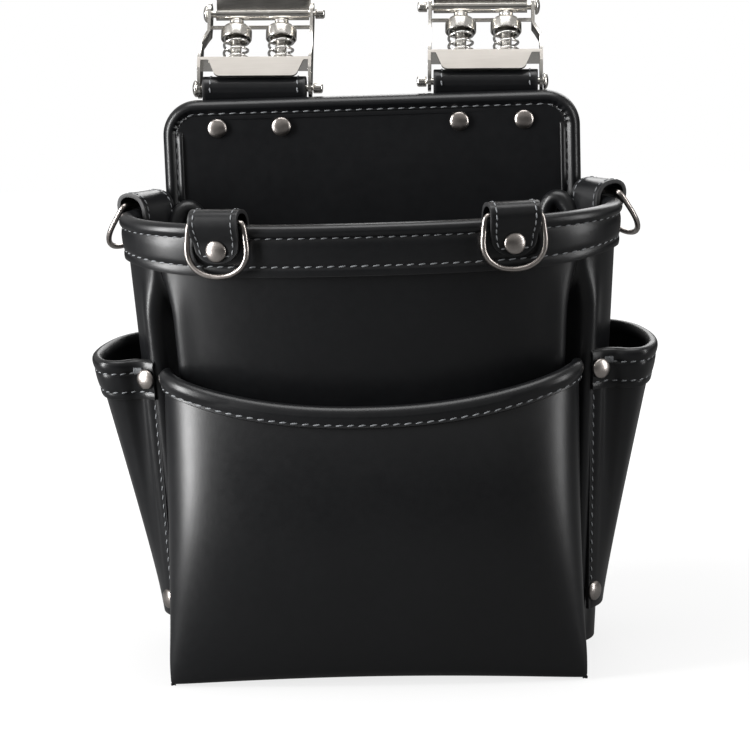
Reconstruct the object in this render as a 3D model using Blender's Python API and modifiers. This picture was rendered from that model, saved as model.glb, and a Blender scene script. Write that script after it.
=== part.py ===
"""Electrician's leather tool pouch with two sprung belt clips, built as separate pieces.

Metres, +Z up. The origin is the middle of the flat bottom, the front faces -Y, and the
back panel's front face stands at y = BACK_Y. Depths are measured forwards from that face.
"""
import math

import bmesh
import bpy
from mathutils import Matrix, Vector

MM = 0.001
GAP = 0.4 * MM                     # clearance between touching pieces

# back panel
BACK_Y = 52 * MM
BACK_WIDTH = 214 * MM
BACK_HEIGHT = 280 * MM
BACK_CORNER = 18 * MM
BACK_LEATHER = 2.0 * MM
STIFFENER = 1.2 * MM
BACK_ROLL = 3.0 * MM               # radius of the rolled edge
BACK_DEPTH = 2 * BACK_LEATHER + STIFFENER + 2 * GAP

# main bag
LEATHER = 2.2 * MM
RIM_HALF_WIDTH = 122.5 * MM
FOOT_HALF_WIDTH = 108 * MM
BACK_HALF_WIDTH = 105.5 * MM
SIDE_DEPTH = 32 * MM               # depth at which the bag is widest
RIM_DEPTH = 91 * MM
FOOT_DEPTH = 70 * MM
RIM_HEIGHT = 219.2 * MM            # middle of the rolled rim at the front
RIM_RISE = 0.06                    # the rim climbs towards the back
RIM_ROLL = 3.3 * MM
ROUNDNESS = 2.3                    # power of the rounded front outline
SIDE_SHARE = 0.2                   # share of the half outline behind the widest point
SEAM_SHARE = 0.505                 # where gusset and front panel meet
BAND_LEATHER = 1.6 * MM
BAND_CLEAR = 1.0 * MM              # the band's flat facets pass round the gusset's corner
BAND_HEIGHT = 20.7 * MM
BOTTOM_THICK = 3.0 * MM
BACK_EDGE_SHARE = 0.012            # where the bag's wall starts beside the back panel

# front pocket
POCKET_HALF_WIDTH = 101.5 * MM
POCKET_CORNER_HEIGHT = 152 * MM
POCKET_SCOOP = 15 * MM
POCKET_ROLL = 2.8 * MM
POCKET_FOOT_DEPTH = 103 * MM
POCKET_SIDE_TOP, POCKET_SIDE_FOOT = 72 * MM, 99 * MM
POCKET_BULGE = 121 * MM
POCKET_MOUTH_DEPTH = 110 * MM
POCKET_CORNER_SHARE = 0.12         # share of the half outline that is the side wall

# side pockets: outline from the front seam round to the back edge, as (x, depth)
SIDE_MOUTH = [(107.6, 62), (113.5, 59), (119.5, 58.4), (126.5, 60.4), (134, 58.5), (138.5, 51),
              (140, 41), (137.5, 27), (131, 13), (121, 4.5), (107.9, 1.4)]
SIDE_FOOT = [(104.8, 54), (108.5, 49), (111, 44), (112.5, 38), (113, 32), (113, 26),
             (112.5, 20), (111.5, 14), (110, 9), (109, 5), (107.9, 2.4)]
SIDE_TOP, SIDE_BOTTOM = 153 * MM, 22 * MM
SIDE_RISE = 0.12
SIDE_LEATHER = 1.8 * MM
SIDE_BAND = 18 * MM
SIDE_BAND_LEATHER = 1.6 * MM
# the seam rivets of a side pocket: (place, height, depth through the leathers)
SIDE_RIVET_SHARE = 0.93
SIDE_RIVETS = [("top", 146 * MM, 14 * MM), ("foot", 31 * MM, 12 * MM)]

# rivets
CAP_RADIUS, CAP_HEIGHT, CAP_EDGE = 4.7 * MM, 2.0 * MM, 0.5 * MM
SHANK_RADIUS = 1.5 * MM
TAIL_RADIUS, TAIL_THICK = 3.6 * MM, 0.9 * MM
HOLE_OVERSHOOT = 2 * MM
STRAP_RIVETS_X = (45.6 * MM, 78.6 * MM)
STRAP_RIVETS_Z = 265.5 * MM

# D-rings and their leather tabs
WIRE = 1.4 * MM                    # ring wire radius
RING_HALF_WIDTH = 15.0 * MM
RING_HEIGHT = 26.0 * MM
RING_CORNER = 2.5 * MM
RING_BAR = (4.4 * MM, 5.7 * MM)    # straight bar, outwards and up from the rim's skin line
TAB_LEATHER = 2.0 * MM
# the tab's middle line from inside the bag over the rim and down: (outwards, up, half width)
TAB_LINE = [(-7.2, -14, 12.5), (-7.2, 1, 12.5), (-5.6, 7.2, 12.5), (-2, 10.2, 12.5),
            (3.4, 11.0, 12.5), (7.2, 9.2, 12.5), (8.4, 5.2, 12.5), (7.0, 0.4, 12),
            (3.9, -4, 11), (3.9, -14, 8.3)]
TAB_RIVET_DROP = 8.0 * MM
FRONT_TAB_X = 70 * MM
SIDE_TAB_SHARE = 0.104             # share of the half outline at the side tabs
SIDE_RING_LIFT = 32                # degrees that the side rings stand out from hanging

# belt straps and clips, in the clip's own frame: origin on the strap pin, X along it,
# "out" is the distance towards the pouch's side edge
CLIP_X = 59.5 * MM
STRAP_PIN_Z = 285 * MM
CLIP_TURN = math.radians(1.5)
CLIP_LEAN = math.radians(-26)      # backwards, towards the belt
STRAP_HALF_WIDTH = 26.7 * MM
STRAP_LEATHER = 4.4 * MM
STRAP_MIDDLE = BACK_DEPTH + 2 * GAP + STRAP_LEATHER / 2
STRAP_LOOP_RADIUS = 6.2 * MM
STRAP_NECK = 8.2 * MM              # below the pin, where the loop narrows to the strap
STRAP_DROP = 40 * MM
SHEET = 1.6 * MM                   # clip sheet metal
CHEEK_OUT_LOW, CHEEK_OUT_HIGH, CHEEK_IN = 28.4 * MM, 24.4 * MM, -28.8 * MM
CHEEK_FOOT, CHEEK_TOP, CHEEK_WIDE = -6 * MM, 50 * MM, 10 * MM
CHEEK_BEND = (24 * MM, 31 * MM)    # heights between which the outer cheek steps inwards
CHEEK_LOW_BOSS, CHEEK_HIGH_BOSS = 5.2 * MM, 5.8 * MM
HOOK_PIN_Y, HOOK_PIN_Z = 1 * MM, 42.5 * MM
SHELF_Z, SHELF_BACK = 12.2 * MM, 6 * MM
PLATE_Y, PLATE_FOOT_Z, PLATE_SHIFT = -9 * MM, 3.2 * MM, -1 * MM
PLATE_TOP_HALF, PLATE_FOOT_HALF, PLATE_CORNER = 25.2 * MM, 21.9 * MM, 3.4 * MM
REAR_BAR = ((5.1 * MM, 36.2 * MM), (6.5 * MM, 37.8 * MM))    # low and high corner, in YZ
# a cheek's edges between the bosses, as (y, z) in mm, upwards at the back and down in front
CHEEK_BACK = [(4.4, 12), (4.6, 28), (6.8, 36.5)]
CHEEK_FRONT = [(-4.2, 34), (-4.0, 23), (-9, 13.8), (-9, 8)]
PIN_RADIUS, PIN_FIT = 2.3 * MM, 0.35 * MM
BORE_REACH = 40 * MM
# a pin's domed head as (radius, height) in mm, from the top to the rim
PIN_HEAD = [(0, 2.3), (2.5, 2.0), (4.0, 1.2), (4.5, 0.5), (4.5, 0)]
THREAD_RADIUS, THREAD_LENGTH = 1.3 * MM, 3.6 * MM
NUT_RADIUS, NUT_LENGTH, NUT_BEVEL = 2.7 * MM, 4.8 * MM, 0.5 * MM
BARREL_RADIUS = 3.4 * MM
HOOK_SHEET = 1.8 * MM
# the hook plate's middle line as (y, z) in mm: up, over the belt and down behind it
HOOK_LINE = [(3.5, 42.5), (3.5, 95.5), (4.7, 98.3), (7.5, 99.5), (10.5, 99.5), (13.3, 98.3),
             (14.5, 95.5), (14.5, 51.5), (13.4, 46.5)]
HOOK_IN, HOOK_OUT = -27.0 * MM, 21.4 * MM
PLUNGER_SPACING, PLUNGER_Y, PLUNGER_SHIFT = 11.7 * MM, 1 * MM, -1.2 * MM
# a plunger as (radius, height) in mm: tip, neck, cup, stem
PLUNGER_LINE = [(0, 38.8), (3.6, 38.8), (3.6, 35.6), (5.6, 35.6), (8.0, 33.3), (8.0, 27.8),
                (7.3, 27.8), (7.3, 32.2), (2.9, 32.2), (2.9, 10.4), (0, 10.4)]
WELL_RADIUS = 3.3 * MM
SPRING_RADIUS, SPRING_WIRE, SPRING_TURNS = 6.2 * MM, 0.62 * MM, 4.4
SPRING_LOW, SPRING_HIGH = 14.6 * MM, 31.1 * MM

# names: (name, side), side is the sign of x
SIDES = [("left", -1), ("right", 1)]


def clear_scene():
    for thing in list(bpy.data.objects):
        bpy.data.objects.remove(thing, do_unlink=True)


def collection(name):
    group = bpy.data.collections.new(name)
    bpy.context.scene.collection.children.link(group)
    return group


clear_scene()
PARTS = collection("tool_pouch")
CUTTERS = collection("cutters")


def material(name, color, roughness, metallic):
    mat = bpy.data.materials.new(name)
    mat.use_nodes = True
    shader = mat.node_tree.nodes["Principled BSDF"]
    shader.inputs["Base Color"].default_value = (*color, 1)
    shader.inputs["Roughness"].default_value = roughness
    shader.inputs["Metallic"].default_value = metallic
    return mat


def black_leather(name):
    return material(name + "_leather", (0.02, 0.021, 0.024), 0.42, 0)


def bright_nickel(name):
    return material(name + "_nickel", (0.72, 0.70, 0.66), 0.22, 1)


def dark_nickel(name):
    return material(name + "_dark_nickel", (0.38, 0.36, 0.34), 0.3, 1)


def board(name):
    return material(name + "_board", (0.05, 0.05, 0.05), 0.7, 0)


def keep(name, data, mat, group=PARTS):
    piece = bpy.data.objects.new(name, data)
    if mat:
        data.materials.append(mat)
    group.objects.link(piece)
    return piece


def sheet(name, rows, thickness, side, mat):
    """A leather wall: a grid of points in rows from low to high, given its thickness."""
    mesh = bpy.data.meshes.new(name)
    columns = len(rows[0])
    faces = []
    for r in range(len(rows) - 1):
        for c in range(columns - 1):
            low, high = r * columns + c, (r + 1) * columns + c
            faces.append((low, high, high + 1, low + 1))
    mesh.from_pydata([p for row in rows for p in row], [], faces)
    piece = keep(name, mesh, mat)
    solid = piece.modifiers.new("thickness", "SOLIDIFY")
    solid.thickness = thickness
    solid.offset = side
    solid.use_even_offset = True
    return piece


def tube(name, points, radius, mat, closed=False, fineness=2):
    data = bpy.data.curves.new(name, "CURVE")
    data.dimensions = "3D"
    data.bevel_depth = radius
    data.bevel_resolution = fineness
    data.use_fill_caps = True
    line = data.splines.new("POLY")
    line.points.add(len(points) - 1)
    for point, place in zip(line.points, points):
        point.co = (*place, 1)
    line.use_cyclic_u = closed
    return keep(name, data, mat)


def outline_mesh(name, loops, low, high):
    """A flat outline, with any holes, extruded from low to high along its local Z."""
    data = bpy.data.curves.new(name, "CURVE")
    data.dimensions = "2D"
    data.fill_mode = "BOTH"
    data.extrude = (high - low) / 2
    for loop in loops:
        line = data.splines.new("POLY")
        line.points.add(len(loop) - 1)
        for point, (x, y) in zip(line.points, loop):
            point.co = (x, y, 0, 1)
        line.use_cyclic_u = True
    holder = bpy.data.objects.new(name, data)
    bpy.context.scene.collection.objects.link(holder)
    bpy.context.view_layer.update()
    ready = holder.evaluated_get(bpy.context.evaluated_depsgraph_get())
    mesh = bpy.data.meshes.new_from_object(ready)
    bpy.data.objects.remove(holder, do_unlink=True)
    mesh.transform(Matrix.Translation((0, 0, (low + high) / 2)))
    cage = bmesh.new()
    cage.from_mesh(mesh)
    bmesh.ops.remove_doubles(cage, verts=cage.verts, dist=0.00001)
    cage.to_mesh(mesh)
    cage.free()
    return mesh


def turned_mesh(name, profile, steps):
    """A profile of (radius, height) from top to bottom, turned about Z."""
    mesh = bpy.data.meshes.new(name)
    edges = [(i, i + 1) for i in range(len(profile) - 1)]
    mesh.from_pydata([(r, 0, z) for r, z in profile], edges, [])
    holder = bpy.data.objects.new(name, mesh)
    bpy.context.scene.collection.objects.link(holder)
    screw = holder.modifiers.new("turn", "SCREW")
    screw.steps = screw.render_steps = steps
    screw.use_merge_vertices = True
    screw.merge_threshold = 0.00001
    bpy.context.view_layer.update()
    ready = holder.evaluated_get(bpy.context.evaluated_depsgraph_get())
    solid = bpy.data.meshes.new_from_object(ready)
    bpy.data.objects.remove(holder, do_unlink=True)
    solid.shade_smooth()
    return solid


def boolean(piece, other, operation):
    cut = piece.modifiers.new(operation.lower(), "BOOLEAN")
    cut.operation = operation
    cut.object = other
    cut.solver = "EXACT"


def cutter(name, mesh, place):
    tool = keep(name, mesh, None, CUTTERS)
    tool.matrix_world = place
    tool.hide_render = True
    tool.display_type = "WIRE"
    return tool


def arc(center, radius, start, end, steps):
    """Points along an arc, in degrees, both ends included."""
    points = []
    for i in range(steps + 1):
        angle = math.radians(start + (end - start) * i / steps)
        points.append((center[0] + radius * math.cos(angle), center[1] + radius * math.sin(angle)))
    return points


def circle(center, radius, steps):
    return arc(center, radius, 0, 360, steps)[:-1]


def blend(a, b, share):
    return a + (b - a) * share


def smooth_point(points, share):
    """A point along a smooth line through the given points, share from 0 to 1."""
    last = len(points) - 1
    place = min(max(share, 0), 0.99999) * last
    i = int(place)
    t = place - i
    before, a, b, after = (points[max(i - 1, 0)], points[i], points[i + 1], points[min(i + 2, last)])
    result = []
    for p0, p1, p2, p3 in zip(before, a, b, after):
        bend = (2 * p0 - 5 * p1 + 4 * p2 - p3) * t * t + (3 * p1 - p0 - 3 * p2 + p3) * t ** 3
        result.append(0.5 * (2 * p1 + (p2 - p0) * t + bend))
    return result


def outward(plan, share, z, step=0.002):
    """Unit normal of a plan outline that runs from the right back corner round the front."""
    ahead, behind = Vector(plan(share + step, z)), Vector(plan(share - step, z))
    along = (ahead - behind).normalized()
    return Vector((-along.y, along.x))


# ---------------------------------------------------------------- main bag

def bag_size(z):
    share = z / RIM_HEIGHT
    half = blend(FOOT_HALF_WIDTH, RIM_HALF_WIDTH, share)
    return half, blend(FOOT_DEPTH, RIM_DEPTH, share ** 0.7)


def bag_plan(share, z):
    """Outer skin of the bag: 0 at the right back corner, 1 mid front, 2 at the left."""
    side = 1
    if share > 1:
        share, side = 2 - share, -1
    half, depth = bag_size(z)
    if share < SIDE_SHARE:
        t = share / SIDE_SHARE
        x, ahead = blend(BACK_HALF_WIDTH, half, t), blend(0.6 * MM, SIDE_DEPTH, t)
    else:
        angle = math.radians(90) * (share - SIDE_SHARE) / (1 - SIDE_SHARE)
        x = half * max(math.cos(angle), 0) ** (2 / ROUNDNESS)
        ahead = SIDE_DEPTH + (depth - SIDE_DEPTH) * math.sin(angle) ** (2 / ROUNDNESS)
    return side * x, BACK_Y - ahead


def bag_front_y(x, z):
    """Where the bag's skin lies in front of a given x."""
    half, depth = bag_size(z)
    rest = max(1 - (x / half) ** ROUNDNESS, 0) ** (1 / ROUNDNESS)
    return BACK_Y - SIDE_DEPTH - (depth - SIDE_DEPTH) * rest


def rim_z(y):
    """Middle height of the rolled rim."""
    return RIM_HEIGHT + RIM_RISE * (y - (BACK_Y - RIM_DEPTH))


def skin(share, z, out):
    x, y = bag_plan(share, z)
    normal = outward(bag_plan, share, z)
    return Vector((x + normal.x * out, y + normal.y * out, z))


def bag_rows(start, end, columns, rows, low, high, out):
    """Rows of points on the bag's skin between two heights, each a function of y."""
    grid = []
    for r in range(rows + 1):
        line = []
        for c in range(columns + 1):
            share = blend(start, end, c / columns)
            y = bag_plan(share, RIM_HEIGHT)[1]
            line.append(skin(share, blend(low(y), high(y), r / rows), out))
        grid.append(line)
    return grid


def main_bag():
    foot = BOTTOM_THICK + GAP
    top_drop = RIM_ROLL + GAP
    end = BACK_EDGE_SHARE
    for side_name, side in SIDES:
        start, stop = (end, SEAM_SHARE) if side > 0 else (2 - SEAM_SHARE, 2 - end)
        rows = bag_rows(start, stop, 10, 6, lambda y: foot, lambda y: rim_z(y) - top_drop, 0)
        name = "gusset_" + side_name
        sheet(name, rows, LEATHER, -1, black_leather(name))
    seam = SEAM_SHARE + 0.004
    rows = bag_rows(seam, 2 - seam, 16, 6, lambda y: foot, lambda y: rim_z(y) - top_drop, 0)
    sheet("bag_front_panel", rows, LEATHER, -1, black_leather("bag_front_panel"))
    rows = bag_rows(end, 2 - end, 36, 1, lambda y: rim_z(y) - BAND_HEIGHT,
                    lambda y: rim_z(y) - top_drop, BAND_CLEAR)
    sheet("rim_band", rows, BAND_LEATHER, 1, black_leather("rim_band"))
    line = []
    steps = 36
    for i in range(steps + 1):
        share = blend(2 * end, 2 - 2 * end, i / steps)
        y = bag_plan(share, RIM_HEIGHT)[1]
        point = skin(share, RIM_HEIGHT, -LEATHER / 2)
        point.z = rim_z(y)
        line.append(point)
    tube("rim_binding", line, RIM_ROLL, black_leather("rim_binding"))


# ---------------------------------------------------------------- back panel

def back_outline(inset):
    """Outline of the back from the left foot up and over to the right foot."""
    half, top, corner = BACK_WIDTH / 2 - inset, BACK_HEIGHT - inset, BACK_CORNER - inset
    left = arc((-half + corner, top - corner), corner, 180, 90, 6)
    right = arc((half - corner, top - corner), corner, 90, 0, 6)
    return [(-half, 0)] + left + right + [(half, 0)]


def back_layer(name, front, thickness, mat):
    """A flat layer of the back whose front face is `front` behind the back's face."""
    inset = 2 * BACK_ROLL + GAP
    mesh = outline_mesh(name, [back_outline(inset)], -thickness, 0)
    piece = keep(name, mesh, mat)
    piece.location = (0, BACK_Y + front, 0)
    piece.rotation_euler = (math.radians(90), 0, 0)
    return piece


def back():
    layers = []
    front = 0
    for name, thickness, mat in (("back_panel", BACK_LEATHER, black_leather("back_panel")),
                                 ("back_stiffener", STIFFENER, board("back_stiffener")),
                                 ("back_cover", BACK_LEATHER, black_leather("back_cover"))):
        layers.append(back_layer(name, front, thickness, mat))
        front += thickness + GAP
    line = [Vector((x, BACK_Y + BACK_DEPTH / 2, z)) for x, z in back_outline(BACK_ROLL)]
    tube("back_binding", line, BACK_ROLL, black_leather("back_binding"))
    return layers


# ---------------------------------------------------------------- bottom and pockets

def pocket_plan(share, z):
    """Front pocket skin: 0 where its right side wall meets the bag, 1 mid front, 2 left."""
    side = 1
    if share > 1:
        share, side = 2 - share, -1
    up = z / POCKET_CORNER_HEIGHT
    edge = blend(POCKET_SIDE_FOOT, POCKET_SIDE_TOP, up ** 1.4)
    belly = POCKET_FOOT_DEPTH + (POCKET_BULGE - POCKET_FOOT_DEPTH) * math.sin(math.pi * up) ** 0.7
    belly = max(belly, blend(POCKET_FOOT_DEPTH, POCKET_MOUTH_DEPTH, up))
    corner = POCKET_CORNER_SHARE
    if share < corner:
        start = BACK_Y - bag_front_y(POCKET_HALF_WIDTH - LEATHER, z) + 2 * GAP
        return side * POCKET_HALF_WIDTH, BACK_Y - blend(start, edge, share / corner)
    angle = math.radians(90) * (share - corner) / (1 - corner)
    x = POCKET_HALF_WIDTH * max(math.cos(angle), 0) ** 0.8
    return side * x, BACK_Y - edge - (belly - edge) * math.sin(angle) ** 0.8


def pocket_top(x):
    """Middle height of the pocket's rolled edge."""
    share = min(abs(x) / POCKET_HALF_WIDTH, 1)
    return POCKET_CORNER_HEIGHT - POCKET_ROLL - POCKET_SCOOP * (1 - share ** 2.2)


def front_pocket():
    grid = []
    columns, rows = 30, 7
    for r in range(rows + 1):
        line = []
        for c in range(columns + 1):
            share = 2 * c / columns
            x = pocket_plan(share, POCKET_CORNER_HEIGHT)[0]
            z = blend(BOTTOM_THICK + GAP, pocket_top(x) - POCKET_ROLL - GAP, r / rows)
            line.append(Vector((*pocket_plan(share, z), z)))
        grid.append(line)
    sheet("front_pocket", grid, LEATHER, -1, black_leather("front_pocket"))
    edge = []
    end, steps = 0.04, 32
    for i in range(steps + 1):
        share = blend(end, 2 - end, i / steps)
        x = pocket_plan(share, POCKET_CORNER_HEIGHT)[0]
        z = pocket_top(x)
        place = Vector((*pocket_plan(share, z), z))
        normal = outward(pocket_plan, share, z)
        edge.append(place - Vector((normal.x, normal.y, 0)) * LEATHER / 2)
    tube("front_pocket_binding", edge, POCKET_ROLL, black_leather("front_pocket_binding"))


def bottom():
    """The flat leather bottom under the bag and the front pocket."""
    half = []
    bag_steps, pocket_steps = 8, 12
    for i in range(bag_steps + 1):
        x, y = bag_plan(blend(BACK_EDGE_SHARE, SEAM_SHARE, i / bag_steps), 0)
        if x > POCKET_HALF_WIDTH + MM:
            half.append((x, y))
    for i in range(1, pocket_steps + 1):
        half.append(pocket_plan(blend(0.02, 1, i / pocket_steps), 0))
    loop = half + [(-x, y) for x, y in reversed(half[:-1])]
    mesh = outline_mesh("bag_bottom", [loop], 0, BOTTOM_THICK)
    return keep("bag_bottom", mesh, black_leather("bag_bottom"))


def side_plan(share, z):
    """Right side pocket skin, from its back edge (0) round to its front seam (1)."""
    up = (z - SIDE_BOTTOM) / (SIDE_TOP - SIDE_BOTTOM)
    mouth, foot = smooth_point(SIDE_MOUTH, 1 - share), smooth_point(SIDE_FOOT, 1 - share)
    x, ahead = [blend(a, b, up) * MM for a, b in zip(foot, mouth)]
    return x, BACK_Y - ahead


def side_top(y):
    return SIDE_TOP + SIDE_RISE * (y - (BACK_Y - 60 * MM))


def side_point(side, share, z, out):
    x, y = side_plan(share, z)
    normal = outward(side_plan, share, z)
    return Vector((side * (x + normal.x * out), y + normal.y * out, z))


def side_rows(side, rows, low, high, out):
    grid = []
    columns = 20
    for r in range(rows + 1):
        line = []
        for c in range(columns + 1):
            share = c / columns
            y = side_plan(share, SIDE_TOP)[1]
            line.append(side_point(side, share, blend(low(y), high(y), r / rows), out))
        grid.append(line if side > 0 else line[::-1])
    return grid


def side_pocket(side_name, side):
    name = "side_pocket_" + side_name
    rows = side_rows(side, 5, lambda y: SIDE_BOTTOM, lambda y: side_top(y) - MM, 0)
    pocket = sheet(name, rows, SIDE_LEATHER, -1, black_leather(name))
    name = "side_band_" + side_name
    rows = side_rows(side, 1, lambda y: side_top(y) - SIDE_BAND, lambda y: side_top(y), GAP)
    band = sheet(name, rows, SIDE_BAND_LEATHER, 1, black_leather(name))
    return pocket, band


# ---------------------------------------------------------------- rivets

def facing(place, direction, up=Vector((0, 0, 1))):
    """A frame at place whose Z points along direction."""
    z = direction.normalized()
    x = up.cross(z).normalized()
    y = z.cross(x)
    return Matrix.Translation(place) @ Matrix((x, y, z)).transposed().to_4x4()


def rivet(name, place, direction, grip, layers):
    """A domed rivet through the layers: the cap outside, the set tail inside."""
    tail = -grip - GAP
    profile = [(0, GAP + CAP_HEIGHT), (CAP_RADIUS * 0.6, GAP + CAP_HEIGHT * 0.82),
               (CAP_RADIUS, GAP + CAP_EDGE), (CAP_RADIUS * 0.93, GAP), (SHANK_RADIUS, GAP),
               (SHANK_RADIUS, tail), (TAIL_RADIUS, tail), (TAIL_RADIUS, tail - TAIL_THICK),
               (0, tail - TAIL_THICK)]
    frame = facing(place, direction)
    piece = keep(name, turned_mesh(name, profile, 12), dark_nickel(name))
    piece.matrix_world = frame
    hole = outline_mesh("hole", [circle((0, 0), SHANK_RADIUS + GAP, 12)], -grip - HOLE_OVERSHOOT,
                        HOLE_OVERSHOOT)
    tool = cutter(name + "_hole", hole, frame)
    for layer in layers:
        boolean(layer, tool, "DIFFERENCE")
    return piece


# ---------------------------------------------------------------- D-rings and tabs

def ring_points():
    """The D: a straight bar along X at the top, hanging down in the XZ plane."""
    half, corner = RING_HALF_WIDTH, RING_CORNER
    drop = RING_HEIGHT - corner
    left = arc((-half + corner, -corner), corner, 90, 180, 3)
    right = arc((half - corner, -corner), corner, 0, 90, 3)
    bow = []
    steps = 14
    for i in range(1, steps):
        angle = math.pi * i / steps
        bow.append((-half * math.cos(angle), -corner - drop * math.sin(angle) ** 0.9))
    return [Vector((x, 0, z)) for x, z in left + bow + right]


def rim_frame(share):
    """A frame on the rim: X along it to the viewer's right, Y inwards, Z up."""
    x, y = bag_plan(share, RIM_HEIGHT)
    normal = outward(bag_plan, share, RIM_HEIGHT)
    inward = Vector((-normal.x, -normal.y, 0))
    along = inward.cross(Vector((0, 0, 1)))
    turn = Matrix((along, inward, Vector((0, 0, 1)))).transposed().to_4x4()
    return Matrix.Translation((x, y, rim_z(y))) @ turn


def ring_and_tab(where, share, lift, layers):
    frame = rim_frame(share)
    name = "ring_" + where
    ring = tube(name, ring_points(), WIRE, dark_nickel(name), closed=True, fineness=1)
    hinge = frame @ Matrix.Translation((0, -RING_BAR[0], RING_BAR[1]))
    ring.matrix_world = hinge @ Matrix.Rotation(math.radians(-lift), 4, "X")
    name = "ring_tab_" + where
    rows = []
    for edge in (-MM, MM):
        rows.append([Vector((edge * half, -out * MM, up * MM)) for out, up, half in TAB_LINE])
    tab = sheet(name, rows, TAB_LEATHER, 0, black_leather(name))
    tab.matrix_world = frame
    outer = (TAB_LINE[-1][0] * MM) + TAB_LEATHER / 2
    inner = (TAB_LINE[0][0] * MM) - TAB_LEATHER / 2
    place = frame @ Vector((0, -outer, -TAB_RIVET_DROP))
    direction = frame.to_3x3() @ Vector((0, -1, 0))
    rivet("tab_rivet_" + where, place, direction, outer - inner, layers + [tab])


def share_at(x_wanted):
    """The share of the half outline at which the rim has a given x."""
    low, high = SIDE_SHARE, 1.0
    for _ in range(40):
        middle = (low + high) / 2
        if bag_plan(middle, RIM_HEIGHT)[0] > x_wanted:
            low = middle
        else:
            high = middle
    return low


# ---------------------------------------------------------------- belt straps and clips

def clip_frame_matrix(side, lean):
    """The clip's frame. Mirroring is done in the shapes, with x = side * out."""
    place = Vector((side * CLIP_X, BACK_Y + STRAP_MIDDLE, STRAP_PIN_Z))
    turn = Matrix.Rotation(CLIP_TURN, 4, "Y") @ Matrix.Rotation(lean, 4, "X")
    return Matrix.Translation(place) @ turn


def side_view_matrix():
    """Turns an outline drawn in (y, z) with its thickness along Z to stand in the YZ plane."""
    return Matrix(((0, 0, 1, 0), (1, 0, 0, 0), (0, 1, 0, 0), (0, 0, 0, 1)))


def yz_mesh(name, loops, low, high):
    mesh = outline_mesh(name, loops, low, high)
    mesh.transform(side_view_matrix())
    return mesh


def span(side, low, high):
    """An interval given outwards, as an interval of x."""
    return (low, high) if side > 0 else (-high, -low)


def belt_strap(side_name, side):
    name = "belt_strap_" + side_name
    half = STRAP_LEATHER / 2
    lean = math.degrees(math.asin(half / STRAP_LOOP_RADIUS))
    ease = 12
    around = arc((0, 0), STRAP_LOOP_RADIUS, -90 + lean + ease, 270 - lean - ease, 22)
    loop = [(half, -STRAP_DROP), (half, -STRAP_NECK)] + around
    loop += [(-half, -STRAP_NECK), (-half, -STRAP_DROP)]
    hole = circle((0, 0), PIN_RADIUS + PIN_FIT, 16)
    mesh = yz_mesh(name, [loop, hole], -STRAP_HALF_WIDTH, STRAP_HALF_WIDTH)
    strap = keep(name, mesh, black_leather(name))
    strap.matrix_world = clip_frame_matrix(side, 0)
    return strap


def pin(name, side, out_face, in_face, frame):
    """A pin with a domed head at its outer end and a thread for the nut at its inner end."""
    top, shoulder = out_face + GAP, in_face - GAP
    tip = in_face - THREAD_LENGTH
    lay = Matrix.Rotation(math.radians(90 * side), 4, "Y")
    profile = [(r * MM, top + z * MM) for r, z in PIN_HEAD]
    profile += [(PIN_RADIUS, top), (PIN_RADIUS, shoulder), (THREAD_RADIUS, shoulder),
                (THREAD_RADIUS, tip), (0, tip)]
    mesh = turned_mesh(name, profile, 16)
    mesh.transform(lay)
    piece = keep(name, mesh, bright_nickel(name))
    piece.matrix_world = frame
    bore, face = THREAD_RADIUS + PIN_FIT, shoulder - GAP
    low = face - NUT_LENGTH
    profile = [(0, face - THREAD_LENGTH), (bore, face - THREAD_LENGTH), (bore, face),
               (NUT_RADIUS, face), (NUT_RADIUS, low + NUT_BEVEL), (NUT_RADIUS - NUT_BEVEL, low),
               (0, low)]
    mesh = turned_mesh(name + "_nut", profile, 16)
    mesh.transform(lay)
    nut = keep(name + "_nut", mesh, bright_nickel(name + "_nut"))
    nut.matrix_world = frame


def box(name, low, high):
    mesh = bpy.data.meshes.new(name)
    cage = bmesh.new()
    bmesh.ops.create_cube(cage, size=1)
    cage.to_mesh(mesh)
    cage.free()
    size = [b - a for a, b in zip(low, high)]
    middle = [(a + b) / 2 for a, b in zip(low, high)]
    mesh.transform(Matrix.Translation(middle) @ Matrix.Diagonal((*size, 1)))
    return keep(name, mesh, None)


def cheek_outline():
    """A cheek seen from the side: a boss at each pin and a waist between them."""
    low = arc((0, 0), CHEEK_LOW_BOSS, 180, 360, 10)
    high = arc((HOOK_PIN_Y, HOOK_PIN_Z), CHEEK_HIGH_BOSS, 0, 180, 10)
    back = [(y * MM, z * MM) for y, z in CHEEK_BACK]
    front = [(y * MM, z * MM) for y, z in CHEEK_FRONT]
    return low + back + high + front


def front_plate(side):
    """The plate in front of the strap's loop, its lower corners rounded."""
    foot = arc((PLATE_FOOT_HALF - PLATE_CORNER, PLATE_FOOT_Z + PLATE_CORNER), PLATE_CORNER,
               -90, -10, 6)
    half = foot + [(PLATE_TOP_HALF, SHELF_Z + SHEET)]
    loop = half + [(-x, z) for x, z in reversed(half)]
    mesh = outline_mesh("plate", [loop], 0, SHEET)
    mesh.transform(Matrix.Rotation(math.radians(90), 4, "X"))
    mesh.transform(Matrix.Translation((side * PLATE_SHIFT, PLATE_Y + SHEET, 0)))
    return keep("plate", mesh, None)


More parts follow.
